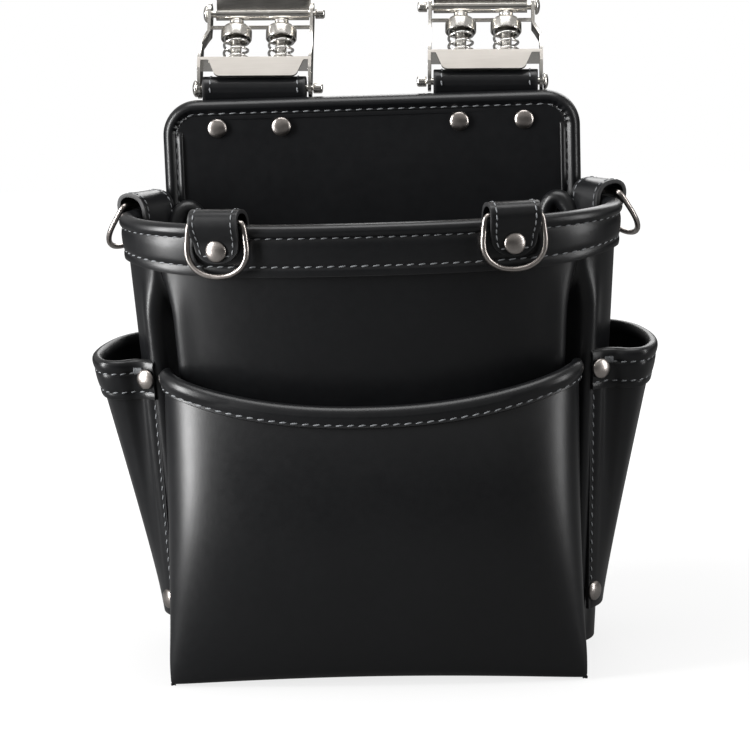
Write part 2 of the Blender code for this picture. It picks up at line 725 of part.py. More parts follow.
def clip_body(side_name, side, frame):
    """Sheet-metal frame: two cheeks, a shelf for the springs, a front plate, a rear bar."""
    name = "clip_frame_" + side_name
    outer = [(CHEEK_OUT_LOW, CHEEK_FOOT), (CHEEK_OUT_LOW, CHEEK_BEND[0]),
             (CHEEK_OUT_HIGH, CHEEK_BEND[1]), (CHEEK_OUT_HIGH, CHEEK_TOP)]
    inner = [(CHEEK_IN, CHEEK_FOOT), (CHEEK_IN, CHEEK_TOP)]
    reach = max(CHEEK_OUT_LOW, -CHEEK_IN) + 2 * SHEET
    shape = yz_mesh("cheek_shape", [cheek_outline()], -reach, reach)
    template = cutter(name + "_shape", shape, Matrix())
    pieces = []
    for line in (outer, inner):
        rows = []
        for y in (-CHEEK_WIDE, CHEEK_WIDE):
            rows.append([Vector((side * x, y, z)) for x, z in line])
        strip = sheet("strip", rows, SHEET, 0, None)
        boolean(strip, template, "INTERSECT")
        pieces.append(strip)
    low, high = span(side, CHEEK_IN, CHEEK_OUT_LOW)
    pieces.append(box("shelf", (low, PLATE_Y, SHELF_Z), (high, SHELF_BACK, SHELF_Z + SHEET)))
    pieces.append(front_plate(side))
    low, high = span(side, CHEEK_IN, CHEEK_OUT_HIGH)
    pieces.append(box("bar", (low, *REAR_BAR[0]), (high, *REAR_BAR[1])))
    body = keep(name, joined_mesh(name, pieces), bright_nickel(name))
    body.matrix_world = frame
    across = pin_bore()
    boolean(body, cutter(name + "_low_bore", across, frame), "DIFFERENCE")
    hook_pin = frame @ Matrix.Translation((0, HOOK_PIN_Y, HOOK_PIN_Z))
    boolean(body, cutter(name + "_high_bore", across, hook_pin), "DIFFERENCE")
    down = outline_mesh("well", [circle((0, 0), WELL_RADIUS, 16)], SHELF_Z - SHEET,
                        SHELF_Z + 2 * SHEET)
    for x in plunger_places(side):
        well = frame @ Matrix.Translation((x, PLUNGER_Y, 0))
        boolean(body, cutter(name + "_well", down, well), "DIFFERENCE")


def pin_bore():
    return yz_mesh("bore", [circle((0, 0), PIN_RADIUS + PIN_FIT, 16)], -BORE_REACH, BORE_REACH)


def plunger_places(side):
    """The outer and the inner plunger's x in the clip's frame."""
    return [side * (PLUNGER_SHIFT + way * PLUNGER_SPACING) for way in (1, -1)]


def joined_mesh(name, pieces):
    """One closed mesh from overlapping solids, which are removed."""
    first = pieces[0]
    for other in pieces[1:]:
        boolean(first, other, "UNION")
    bpy.context.view_layer.update()
    ready = first.evaluated_get(bpy.context.evaluated_depsgraph_get())
    mesh = bpy.data.meshes.new_from_object(ready)
    mesh.name = name
    mesh.materials.clear()
    for piece in pieces:
        bpy.data.objects.remove(piece, do_unlink=True)
    return mesh


def belt_hook(side_name, side, frame):
    """The plate that goes over the belt, rolled into a barrel round the hook pin."""
    name = "belt_hook_" + side_name
    low, high = span(side, HOOK_IN, HOOK_OUT)
    rows = []
    for x in (low, high):
        rows.append([Vector((x, y * MM, z * MM)) for y, z in HOOK_LINE])
    plate = sheet("hook_plate", rows, HOOK_SHEET, 0, None)
    center = (HOOK_PIN_Y, HOOK_PIN_Z)
    barrel = keep("barrel", yz_mesh("barrel", [circle(center, BARREL_RADIUS, 20)], low, high), None)
    mesh = joined_mesh(name, [barrel, plate])
    mesh.transform(Matrix.Translation((0, -HOOK_PIN_Y, -HOOK_PIN_Z)))
    hook = keep(name, mesh, bright_nickel(name))
    upright = Matrix.Rotation(-CLIP_LEAN, 4, "X")
    hook.matrix_world = frame @ Matrix.Translation((0, HOOK_PIN_Y, HOOK_PIN_Z)) @ upright
    boolean(hook, cutter(name + "_bore", pin_bore(), hook.matrix_world.copy()), "DIFFERENCE")


def plunger_and_spring(side_name, where, x, frame):
    name = "plunger_{}_{}".format(side_name, where)
    mesh = turned_mesh(name, [(r * MM, z * MM) for r, z in PLUNGER_LINE], 14)
    place = frame @ Matrix.Translation((x, PLUNGER_Y, 0))
    piece = keep(name, mesh, bright_nickel(name))
    piece.matrix_world = place
    name = "spring_{}_{}".format(side_name, where)
    steps = 40
    line = []
    for i in range(steps + 1):
        angle = 2 * math.pi * SPRING_TURNS * i / steps
        z = blend(SPRING_LOW, SPRING_HIGH, i / steps)
        line.append(Vector((SPRING_RADIUS * math.cos(angle), SPRING_RADIUS * math.sin(angle), z)))
    spring = tube(name, line, SPRING_WIRE, bright_nickel(name), fineness=1)
    spring.matrix_world = place


def clip(side_name, side):
    frame = clip_frame_matrix(side, CLIP_LEAN)
    clip_body(side_name, side, frame)
    belt_hook(side_name, side, frame)
    out_low, out_high = CHEEK_OUT_LOW + SHEET / 2, CHEEK_OUT_HIGH + SHEET / 2
    inner = CHEEK_IN - SHEET / 2
    pin("strap_pin_" + side_name, side, out_low, inner, frame)
    high = frame @ Matrix.Translation((0, HOOK_PIN_Y, HOOK_PIN_Z))
    pin("hook_pin_" + side_name, side, out_high, inner, high)
    for where, x in zip(("outer", "inner"), plunger_places(side)):
        plunger_and_spring(side_name, where, x, frame)


# ---------------------------------------------------------------- assembly

main_bag()
back_layers = back()
front_pocket()
bottom()
named = bpy.data.objects
grip_length = BACK_DEPTH + 2 * GAP + STRAP_LEATHER
for side_word, sign in SIDES:
    pocket_piece, band_piece = side_pocket(side_word, sign)
    gusset = named["gusset_" + side_word]
    strap_piece = belt_strap(side_word, sign)
    clip(side_word, sign)
    for place_word, across in zip(("inner", "outer"), STRAP_RIVETS_X):
        head = Vector((sign * across, BACK_Y, STRAP_RIVETS_Z))
        rivet("strap_rivet_{}_{}".format(side_word, place_word), head, Vector((0, -1, 0)),
              grip_length, back_layers + [strap_piece])
    ring_and_tab("side_" + side_word, SIDE_TAB_SHARE if sign > 0 else 2 - SIDE_TAB_SHARE,
                 SIDE_RING_LIFT, [gusset, named["rim_band"]])
    front_share = share_at(FRONT_TAB_X)
    ring_and_tab("front_" + side_word, front_share if sign > 0 else 2 - front_share, 0,
                 [named["bag_front_panel"], named["rim_band"]])
    for which, height, depth in SIDE_RIVETS:
        band_out = 2 * GAP + SIDE_BAND_LEATHER if which == "top" else 0
        layers = [pocket_piece, gusset] + ([band_piece] if which == "top" else [])
        head = side_point(sign, SIDE_RIVET_SHARE, height, band_out)
        flat = outward(side_plan, SIDE_RIVET_SHARE, height)
        rivet("side_rivet_{}_{}".format(which, side_word), head,
              Vector((sign * flat.x, flat.y, 0)), depth, layers)
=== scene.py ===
"""Looks of an electrician's black leather tool pouch, built round its CAD frame.

Metres, +Z up, front towards -Y. The driving sizes are the frame's own; leather is modelled
as thick sheets with folded edges, sewn with separate stitches, and hung from two sprung clips.
"""
import math

import bpy
import numpy as np
from mathutils import Matrix, Vector


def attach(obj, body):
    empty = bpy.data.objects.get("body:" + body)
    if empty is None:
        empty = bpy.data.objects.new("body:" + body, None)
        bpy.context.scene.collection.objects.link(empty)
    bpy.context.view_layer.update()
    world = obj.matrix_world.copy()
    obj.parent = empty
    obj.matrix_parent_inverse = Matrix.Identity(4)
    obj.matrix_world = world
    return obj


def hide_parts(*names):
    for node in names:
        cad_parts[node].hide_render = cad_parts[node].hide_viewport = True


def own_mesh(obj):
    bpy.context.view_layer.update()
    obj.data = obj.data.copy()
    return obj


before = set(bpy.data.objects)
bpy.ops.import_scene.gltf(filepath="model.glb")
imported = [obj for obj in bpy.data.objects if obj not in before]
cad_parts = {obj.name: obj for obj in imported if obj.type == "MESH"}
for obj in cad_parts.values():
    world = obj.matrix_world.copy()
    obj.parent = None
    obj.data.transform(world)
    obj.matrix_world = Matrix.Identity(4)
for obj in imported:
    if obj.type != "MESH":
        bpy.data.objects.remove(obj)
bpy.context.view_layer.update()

MM = 0.001
UP = Vector((0, 0, 1))
MERGE = 0.01 * MM

# back panel
BACK_Y = 52 * MM
BACK_HALF = 107 * MM
BACK_HEIGHT = 280 * MM
BACK_CORNER = 18 * MM
BACK_DEPTH = 6.0 * MM
FACE_INSET = 6.6 * MM

# main bag
LEATHER = 2.2 * MM
RIM_HALF_WIDTH, FOOT_HALF_WIDTH, BACK_HALF_WIDTH = 122.5 * MM, 108 * MM, 105.5 * MM
SIDE_DEPTH, RIM_DEPTH, FOOT_DEPTH = 32 * MM, 91 * MM, 70 * MM
RIM_HEIGHT, RIM_RISE = 219.2 * MM, 0.06
ROUNDNESS, SIDE_SHARE, SEAM_SHARE = 2.3, 0.2, 0.505
BAND_FOOT = -19.4 * MM
WALL_FOOT, WALL_TOP_DROP, SKIN_REACH = 3.4 * MM, 2.0 * MM, 150 * MM
GUSSET_FOLD = [(104.5, 36, 156), (104, 37, 194), (102.5, 39, 214), (97.5, 42, 224), (92, 44, 224.5),
               (88.5, 45, 216), (88, 45.5, 194), (88.5, 45.5, 156)]

# front pocket
POCKET_HALF_WIDTH = 101.5 * MM
POCKET_CORNER_HEIGHT = 152 * MM
POCKET_SCOOP, POCKET_ROLL = 15 * MM, 2.8 * MM
POCKET_SIDE_TOP, POCKET_SIDE_FOOT = 72 * MM, 99 * MM
POCKET_FOOT_DEPTH, POCKET_BULGE, POCKET_MOUTH_DEPTH = 103 * MM, 121 * MM, 110 * MM
POCKET_CORNER_SHARE = 0.12

# side pockets, outlines as (x, depth) in mm from the front seam round to the back edge
SIDE_MOUTH = [(107.6, 62), (113.5, 59), (119.5, 58.4), (126.5, 60.4), (134, 58.5), (138.5, 51),
              (140, 41), (137.5, 27), (131, 13), (121, 4.5), (107.9, 1.4)]
SIDE_FOOT = [(104.8, 54), (108.5, 49), (111, 44), (112.5, 38), (113, 32), (113, 26),
             (112.5, 20), (111.5, 14), (110, 9), (109, 5), (107.9, 2.4)]
SIDE_TOP, SIDE_BOTTOM, SIDE_RISE = 153.8 * MM, 22 * MM, 0.12
SIDE_LEATHER = 1.8 * MM
SIDE_REACH, SIDE_SEAM_INSET = 130 * MM, 4.6 * MM

# rivets
STRAP_RIVETS_X, STRAP_RIVETS_Z = (45.6 * MM, 78.6 * MM), 265.5 * MM
SIDE_RIVET_SHARE = 0.93
SIDE_RIVETS = [("top", 146 * MM, 2.4 * MM, 14 * MM), ("foot", 31 * MM, 0, 12 * MM)]
GAP = 0.4 * MM

# D-rings and tabs, the tab's line as (outwards, up, half width) in mm
WIRE = 1.4 * MM
RING_BAR = (4.4 * MM, 5.7 * MM)
TAB_LINE = [(-7.2, -14, 12.5), (-7.2, 1, 12.5), (-5.6, 7.2, 12.5), (-2, 10.2, 12.5),
            (3.4, 11.0, 12.5), (7.2, 9.2, 12.5), (8.4, 5.2, 12.5), (7.0, 0.6, 12.2),
            (4.6, -3.6, 11.6), (3.9, -9, 10.6), (3.9, -14, 8.8)]
TAB_RIVET_DROP = 8.0 * MM
TAB_TIP = 7.5
TAB_INSIDE, TAB_OUTSIDE = -7.2 * MM, 3.9 * MM
FRONT_TAB_X = 70 * MM
SIDE_TAB_SHARE = 0.104
SIDE_RING_LIFT = 32

# belt straps and clips, in each clip's own frame, "out" towards the pouch's side edge
CLIP_X, STRAP_PIN_Z = 59.5 * MM, 285 * MM
CLIP_TURN, CLIP_LEAN = math.radians(1.5), math.radians(-26)
STRAP_HALF_WIDTH, STRAP_LEATHER = 26.7 * MM, 4.4 * MM
STRAP_MIDDLE = BACK_DEPTH + 2 * GAP + STRAP_LEATHER / 2
STRAP_LOOP_RADIUS, STRAP_DROP = 6.2 * MM, 40 * MM
CHEEK_OUT_LOW, CHEEK_OUT_HIGH, CHEEK_IN, SHEET = 28.4 * MM, 24.4 * MM, -28.8 * MM, 1.6 * MM
HOOK_PIN = (1 * MM, 42.5 * MM)
HOOK_IN, HOOK_OUT = -27.0 * MM, 21.4 * MM
PLATE_Y = -9 * MM
PLUNGER_SPACING, PLUNGER_Y, PLUNGER_SHIFT = 11.7 * MM, 1 * MM, -1.2 * MM
SPRING_LOW, SPRING_HIGH, SPRING_TURNS = 14.6 * MM, 31.3 * MM, 4.4
SPRING_RADIUS, SPRING_WIRE = 6.2 * MM, 0.68 * MM

# sewing
PITCH = 5.4 * MM
SIDE_PITCH = 4.5 * MM

SIDES = [("left", -1), ("right", 1)]


# ---- shader nodes

class Value:
    """A shader socket in Python arithmetic: each expression adds its Math nodes."""

    def __init__(self, graph, socket):
        self.graph = graph
        self.socket = socket

    def math(self, operation, first, second):
        return self.graph.node("ShaderNodeMath", {"operation": operation}, [first, second])

    def __add__(self, other):
        return self.math("ADD", self, other)

    def __radd__(self, other):
        return self.math("ADD", other, self)

    def __sub__(self, other):
        return self.math("SUBTRACT", self, other)

    def __rsub__(self, other):
        return self.math("SUBTRACT", other, self)

    def __mul__(self, other):
        return self.math("MULTIPLY", self, other)

    def __rmul__(self, other):
        return self.math("MULTIPLY", other, self)


class Graph:
    """The nodes of a material or world."""

    def __init__(self, tree):
        self.tree = tree

    def feed(self, socket, value):
        if isinstance(value, Value):
            self.tree.links.new(value.socket, socket)
        else:
            socket.default_value = value

    def node(self, kind, settings, sockets, output=0):
        """Adds a node: its settings first, then its sockets, given by name or in order."""
        node = self.tree.nodes.new(kind)
        for setting, value in settings.items():
            setattr(node, setting, value)
        pairs = sockets.items() if isinstance(sockets, dict) else enumerate(sockets)
        for key, value in pairs:
            self.feed(node.inputs[key], value)
        return Value(self, node.outputs[output])

    def ray(self, kind):
        """1 on rays of a kind, such as the camera's, and 0 on others."""
        return self.node("ShaderNodeLightPath", {}, {}, "Is {} Ray".format(kind))

    def fade(self, value, near, far, start, end):
        """A soft change from start to end while value goes from near to far."""
        return self.node("ShaderNodeMapRange", {"interpolation_type": "SMOOTHSTEP"},
                         {"Value": value, "From Min": near, "From Max": far,
                          "To Min": start, "To Max": end})


class Finish(Graph):
    """A node material with one Principled shader."""

    def __init__(self, name, **constants):
        self.material = bpy.data.materials.new(name)
        self.material.use_nodes = True
        super().__init__(self.material.node_tree)
        self.shader = self.tree.nodes["Principled BSDF"]
        for socket, value in constants.items():
            self.shader.inputs[socket.replace("_", " ")].default_value = value
        self.place = self.node("ShaderNodeTexCoord", {}, {}, "Object")

    def noise(self, scale, detail=2.0, roughness=0.5, vector=None):
        return self.node("ShaderNodeTexNoise", {}, {"Vector": vector or self.place, "Scale": scale,
                         "Detail": detail, "Roughness": roughness}, "Fac")

    def cells(self, scale):
        return self.node("ShaderNodeTexVoronoi", {}, {"Vector": self.place, "Scale": scale},
                         "Distance")

    def stretched(self, scale):
        return self.node("ShaderNodeMapping", {}, {"Vector": self.place, "Scale": scale})

    def attribute(self, name):
        return self.node("ShaderNodeAttribute", {"attribute_name": name}, {}, "Fac")

    def between(self, amount, first, second):
        return self.node("ShaderNodeMix", {"data_type": "RGBA"}, {0: amount, 6: first, 7: second}, 2)

    def bump(self, height, strength, distance):
        return self.node("ShaderNodeBump", {}, {"Strength": strength, "Distance": distance,
                                                "Height": height})

    def coat(self, share, dark, light, roughness, height, strength, depth):
        """Paints a colour between dark and light, a roughness and a relief, its depth in mm."""
        return self.paint(Base_Color=self.between(share, (*dark, 1), (*light, 1)),
                          Roughness=roughness, Normal=self.bump(height, strength, depth * MM))

    def paint(self, **inputs):
        for socket, value in inputs.items():
            self.feed(self.shader.inputs[socket.replace("_", " ")], value)
        return self.material


def smooth_black_leather(name):
    """Finished cowhide: fine pores, soft clouding, and paler, rougher cut edges."""
    finish = Finish(name, Specular_IOR_Level=0.34)
    cloud = finish.noise(38, 3.0)
    mottle = finish.noise(260, 3.0, 0.6)
    pores = finish.cells(1500)
    fibre = finish.noise(2600, 2.0, 0.6)
    edge = finish.attribute("cut_edge")
    skin = finish.between(mottle * 0.6 + cloud * 0.3, (0.003, 0.0032, 0.0038, 1),
                          (0.0065, 0.0068, 0.0076, 1))
    color = finish.between(edge * (0.55 + mottle * 0.6), skin, (0.02, 0.02, 0.021, 1))
    roughness = 0.27 + mottle * 0.07 + cloud * 0.06 + edge * 0.2
    grain = pores * 0.5 + fibre * 0.3 + mottle * 0.5
    normal = finish.bump(grain, 0.1, 0.25 * MM)
    return finish.paint(Base_Color=color, Roughness=roughness, Normal=normal)


def waxed_thread(name):
    """Grey bonded thread: twisted plies and a slight shine."""
    finish = Finish(name, Specular_IOR_Level=0.5)
    ply = finish.noise(2400, 2.0)
    shade = finish.noise(160, 2.0)
    return finish.coat(shade * 0.5 + ply * 0.5, (0.08, 0.083, 0.09), (0.23, 0.24, 0.25),
                       0.42 + ply * 0.2, ply, 0.4, 0.2)


def bright_nickel(name):
    """Polished nickel plate, faintly cloudy, with hairline handling marks."""
    finish = Finish(name, Metallic=1.0)
    cloud = finish.noise(120, 3.0)
    lines = finish.noise(400, 2.0, 0.5, finish.stretched((0.4, 5, 5)))
    return finish.coat(cloud, (0.52, 0.50, 0.47), (0.70, 0.68, 0.645),
                       0.17 + cloud * 0.07 + lines * 0.08, lines, 0.05, 0.1)


def satin_nickel(name):
    """The clip's front plate: nickel brushed along its length."""
    finish = Finish(name, Metallic=1.0)
    brushed = finish.noise(500, 3.0, 0.6, finish.stretched((0.12, 6, 6)))
    cloud = finish.noise(60, 2.0)
    return finish.coat(brushed * 0.6 + cloud * 0.4, (0.50, 0.465, 0.43), (0.66, 0.63, 0.59),
                       0.30 + brushed * 0.12, brushed, 0.12, 0.1)


def antique_nickel(name):
    """Darker nickel of the rings and rivets, with worn, brighter patches."""
    finish = Finish(name, Metallic=1.0)
    cloud = finish.noise(210, 4.0, 0.6)
    fine = finish.noise(1400, 2.0)
    return finish.coat(cloud * 0.7 + fine * 0.3, (0.24, 0.215, 0.20), (0.50, 0.465, 0.44),
                       0.2 + cloud * 0.14 + fine * 0.06, cloud + fine * 0.5, 0.12, 0.12)


def spring_steel(name):
    finish = Finish(name, Metallic=1.0)
    drawn = finish.noise(900, 2.0)
    return finish.coat(drawn, (0.44, 0.43, 0.42), (0.66, 0.65, 0.63), 0.2 + drawn * 0.12,
                       drawn, 0.08, 0.1)


def fibre_board(name):
    finish = Finish(name)
    fibre = finish.noise(700, 5.0, 0.7)
    return finish.coat(fibre, (0.02, 0.019, 0.018), (0.06, 0.056, 0.05), 0.7 + fibre * 0.2,
                       fibre, 0.4, 0.3)


BLACK = smooth_black_leather("smooth_black_leather")
THREAD = waxed_thread("grey_waxed_thread")
BRIGHT = bright_nickel("bright_nickel_plate")
SATIN = satin_nickel("brushed_nickel_plate")
ANTIQUE = antique_nickel("antique_nickel")
STEEL = spring_steel("spring_steel")
BOARD = fibre_board("fibre_board")


# ---- shaping

def blend(a, b, share):
    return a + (b - a) * share


def eased(share):
    share = min(max(share, 0), 1)
    return share * share * (3 - 2 * share)


def dip(distance, width):
    """A smooth hump of height 1 over a distance of zero."""
    return math.exp(-(distance / width) ** 2)


def arc(center, radius, start, end, steps):
    angles = [math.radians(blend(start, end, i / steps)) for i in range(steps + 1)]
    return [(center[0] + radius * math.cos(a), center[1] + radius * math.sin(a)) for a in angles]


def smooth_point(points, share):
    """A point along a smooth line through the given points, share from 0 to 1."""
    last = len(points) - 1
    place = min(max(share, 0), 0.99999) * last
    i = int(place)
    t = place - i
    near = (points[max(i - 1, 0)], points[i], points[i + 1], points[min(i + 2, last)])
    result = []
    for before, a, b, after in zip(*near):
        bend = (2 * before - 5 * a + 4 * b - after) * t * t + (3 * a - before - 3 * b + after) * t ** 3
        result.append(0.5 * (2 * a + (b - before) * t + bend))
    return result


def sampled(steps, point_at):
    """What point_at gives at equal steps from 0 to 1, both ends included."""
    return [point_at(i / steps) for i in range(steps + 1)]


def mirrored_share(side, share):
    """A share of the right half's outline, or the same place on the left."""
    return share if side > 0 else 2 - share


def select_only(piece):
    bpy.ops.object.select_all(action="DESELECT")
    piece.select_set(True)
    bpy.context.view_layer.objects.active = piece


def editing(piece, *steps):
    """Runs edit-mode steps on the whole of a piece."""
    select_only(piece)
    bpy.ops.object.mode_set(mode="EDIT")
    bpy.ops.mesh.select_all(action="SELECT")
    for step in steps:
        step()
    bpy.ops.object.mode_set(mode="OBJECT")


def closed_up(piece, fill=True):
    """Joins a shaped grid's edges where they meet and fills its open ends."""
    steps = [lambda: bpy.ops.mesh.remove_doubles(threshold=MERGE)]
    if fill:
        steps.append(lambda: bpy.ops.mesh.fill_holes(sides=0))
    steps.append(lambda: bpy.ops.mesh.normals_make_consistent(inside=False))
    editing(piece, *steps)


def uncut(piece):
    """Takes the paler cut edge off a piece that has none."""
    for mark in piece.data.attributes["cut_edge"].data:
        mark.value = 0


def applied(piece, kind, **settings):
    select_only(piece)
    modifier = piece.modifiers.new(kind.lower(), kind)
    for name, value in settings.items():
        setattr(modifier, name, value)
    bpy.ops.object.modifier_apply(modifier=modifier.name)


def finished(piece, name, material, body="root", nodes=(), angle=38):
    """Names a piece, gives it its material, and lets it ride and replace what it stands for."""
    piece.name = name
    piece.data.name = name
    if not piece.data.materials:
        piece.data.materials.append(material)
    select_only(piece)
    bpy.ops.object.shade_smooth_by_angle(angle=math.radians(angle))
    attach(piece, body)
    if nodes:
        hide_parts(*nodes)
    return piece


def grid(columns, rows, place):
    """A grid primitive whose points are put where place(u, v) says, u and v from 0 to 1."""
    bpy.ops.object.select_all(action="DESELECT")
    bpy.ops.mesh.primitive_grid_add(x_subdivisions=columns, y_subdivisions=rows, size=1)
    piece = bpy.context.object
    near = piece.data.attributes.new("cut_edge", "FLOAT", "POINT")
    for vertex, mark in zip(piece.data.vertices, near.data):
        u, v = vertex.co.x + 0.5, vertex.co.y + 0.5
        outer = min(u, 1 - u, v, 1 - v)
        mark.value = 1.0 if outer < 1e-5 else 0.0
        vertex.co = place(min(max(u, 0), 1), min(max(v, 0), 1))
    return piece


def leather_sheet(columns, rows, place, thickness, offset=-1, edge=0.35 * MM, even=True):
    """A leather wall: a shaped grid, given its thickness and slightly rounded cut edges."""
    piece = grid(columns, rows, place)
    applied(piece, "SOLIDIFY", thickness=thickness, offset=offset, use_even_offset=even)
    applied(piece, "BEVEL", width=edge, segments=2, limit_method="ANGLE",
            angle_limit=math.radians(60))
    return piece


def swept(line, radius, sides, closed=False):
    """A round tube along a line, with frames carried along it so that it doesn't twist."""
    count = len(line)
    normal = UP
    rings = []
    for i in range(count):
        ahead = line[(i + 1) % count] if closed or i + 1 < count else line[i]
        behind = line[i - 1] if closed or i > 0 else line[i]
        along = (ahead - behind).normalized()
        if abs(along.dot(normal)) > 0.99:
            normal = Vector((0, 1, 0))
        normal = (normal - along * along.dot(normal)).normalized()
        rings.append((line[i], normal, along.cross(normal)))
    spans = count if closed else count - 1

    def place(u, v):
        center, first, second = rings[round(u * spans) % count]
        angle = -2 * math.pi * v
        return center + (first * math.cos(angle) + second * math.sin(angle)) * radius

    piece = grid(spans, sides, place)
    closed_up(piece, not closed)
    return piece


def turned(profile, steps):
    """A solid turned about Z: a disc extruded and resized through (radius, height) in mm."""
    bpy.ops.object.select_all(action="DESELECT")
    profile = [(radius * MM, height * MM) for radius, height in profile]
    radius, height = profile[0]
    bpy.ops.mesh.primitive_circle_add(vertices=steps, radius=radius, fill_type="NGON",
                                      location=(0, 0, height))
    piece = bpy.context.object
    bpy.ops.object.transform_apply(location=True)
    bpy.ops.object.mode_set(mode="EDIT")
    bpy.ops.mesh.select_all(action="SELECT")
    for next_radius, next_height in profile[1:]:
        rise = {"value": (0, 0, next_height - height)}
        bpy.ops.mesh.extrude_region_move(TRANSFORM_OT_translate=rise)
        size = next_radius / radius
        bpy.ops.transform.resize(value=(size, size, 1), center_override=(0, 0, next_height))
        radius, height = next_radius, next_height
    bpy.ops.mesh.select_all(action="SELECT")
    bpy.ops.mesh.normals_make_consistent(inside=False)
    bpy.ops.object.mode_set(mode="OBJECT")
    return piece


def put(piece, matrix):
    """Moves a piece's mesh, so that its object stays at the origin."""
    piece.data.transform(matrix)
    return piece


def facing(place, direction):
    """A frame at a place with Z along a direction and X level."""
    z = direction.normalized()
    x = UP.cross(z).normalized()
    return Matrix.Translation(place) @ Matrix((x, z.cross(x), z)).transposed().to_4x4()


# ---- stitches

def one_stitch():
    """A single visible stitch, 1 long and 1 across, plump in the middle."""
    bpy.ops.object.select_all(action="DESELECT")
    bpy.ops.mesh.primitive_uv_sphere_add(segments=6, ring_count=5, radius=0.5)
    piece = bpy.context.object
    piece.data.transform(Matrix.Rotation(math.radians(90), 4, "Y"))
    points = np.array([v.co for v in piece.data.vertices])
    faces = [list(p.vertices) for p in piece.data.polygons]
    bpy.data.objects.remove(piece, do_unlink=True)
    return points, faces


STITCH = one_stitch()


def along_line(line, pitch):
    """Places at equal steps along a fine line of (point, normal), with the way it runs."""
    points = [p for p, _ in line]
    lengths = [0.0]
    for a, b in zip(points, points[1:]):
        lengths.append(lengths[-1] + (b - a).length)
    count = max(int(lengths[-1] / pitch), 1)
    step = lengths[-1] / count
    found, i = [], 0
    for k in range(count):
        wanted = (k + 0.5) * step
        while lengths[i + 1] < wanted and i + 2 < len(lengths):
            i += 1
        share = (wanted - lengths[i]) / max(lengths[i + 1] - lengths[i], 1e-9)
        normal = line[i][1].lerp(line[i + 1][1], share).normalized()
        along = (points[i + 1] - points[i]).normalized()
        found.append((points[i].lerp(points[i + 1], share), normal, along))
    return found


def sewn(name, lines, pitch=PITCH, length=0.66, width=0.95 * MM, slant=9, raise_by=0.12 * MM):
    """Rows of stitches along lines of (point, normal), joined into one piece of thread."""
    base, shape = STITCH
    points, faces = [], []
    for line in lines:
        for place, normal, along in along_line(line, pitch):
            across = normal.cross(along).normalized()
            turn = math.radians(slant)
            way = along * math.cos(turn) + across * math.sin(turn)
            side = normal.cross(way).normalized()
            first = len(points)
            for x, y, z in base:
                points.append(place + normal * (raise_by + z * width * 0.72)
                              + way * (x * pitch * length) + side * (y * width))
            faces += [[first + k for k in face] for face in shape]
    mesh = bpy.data.meshes.new(name)
    mesh.from_pydata(points, [], faces)
    piece = bpy.data.objects.new(name, mesh)
    bpy.context.scene.collection.objects.link(piece)
    return finished(piece, name, THREAD, angle=180)


# ---- the bag's shapes

def bag_size(z):
    share = max(z, 0) / RIM_HEIGHT
    return (blend(FOOT_HALF_WIDTH, RIM_HALF_WIDTH, share),
            blend(FOOT_DEPTH, RIM_DEPTH, share ** 0.7))


def bag_plan(share, z):
    """Outer skin of the bag: 0 at the right back corner, 1 mid front, 2 at the left."""
    side = 1
    if share > 1:
        share, side = 2 - share, -1
    half, depth = bag_size(z)
    if share < SIDE_SHARE:
        t = share / SIDE_SHARE
        x, ahead = blend(BACK_HALF_WIDTH, half, t), blend(0.6 * MM, SIDE_DEPTH, t)
    else:
        angle = math.radians(90) * (share - SIDE_SHARE) / (1 - SIDE_SHARE)
        x = half * max(math.cos(angle), 0) ** (2 / ROUNDNESS)
        ahead = SIDE_DEPTH + (depth - SIDE_DEPTH) * math.sin(angle) ** (2 / ROUNDNESS)
    return side * x, BACK_Y - ahead


def bag_front_y(x, z):
    half, depth = bag_size(z)
    rest = max(1 - (abs(x) / half) ** ROUNDNESS, 0) ** (1 / ROUNDNESS)
    return BACK_Y - SIDE_DEPTH - (depth - SIDE_DEPTH) * rest


def outward(plan, share, z, step=0.006):
    """Unit normal of a plan outline that runs from the right back corner round the front."""
    ahead, behind = Vector(plan(share + step, z)), Vector(plan(share - step, z))
    along = (ahead - behind).normalized()
    return Vector((-along.y, along.x, 0))


def skin(share, z, out):
    x, y = bag_plan(share, z)
    return Vector((x, y, z)) + outward(bag_plan, share, z) * out


def rim_z(y):
    return RIM_HEIGHT + RIM_RISE * (y - (BACK_Y - RIM_DEPTH))


def gusset_fold(share, z):
    """How far the skin stands out or sinks near the seam between gusset and front panel."""
    near = share if share <= 1 else 2 - share
    distance = (near - SEAM_SHARE) * SKIN_REACH
    open_up = eased((rim_z(bag_plan(share, z)[1]) + BAND_FOOT - z) / (26 * MM))
    groove = -blend(1.6, 11, open_up) * MM * dip(distance, blend(2.4, 4.0, open_up) * MM)
    column = blend(0.3, 2.8, open_up) * MM * dip(distance + 10.5 * MM, 6 * MM)
    shoulder = blend(0.1, 1.0, open_up) * MM * dip(distance - 9 * MM, 6 * MM)
    return groove + column + shoulder


def bag_wall(start, stop, columns, rows):
    def place(u, v):
        share = blend(start, stop, u)
        y = bag_plan(share, RIM_HEIGHT)[1]
        z = blend(WALL_FOOT, rim_z(y) - WALL_TOP_DROP, v)
        return skin(share, z, gusset_fold(share, z))
    return leather_sheet(columns, rows, place, LEATHER, even=False)


def pleat(side_name, side):
    """The gusset's back edge folded in behind the rim, a soft lump in the bag's inner corner."""
    fold = [(side * x, y, z) for x, y, z in GUSSET_FOLD]
    piece = swept(sampled(80, lambda t: Vector(smooth_point(fold, t)) * MM), 4.6 * MM, 20)
    uncut(piece)
    finished(piece, "gusset_pleat_leather_" + side_name, BLACK)


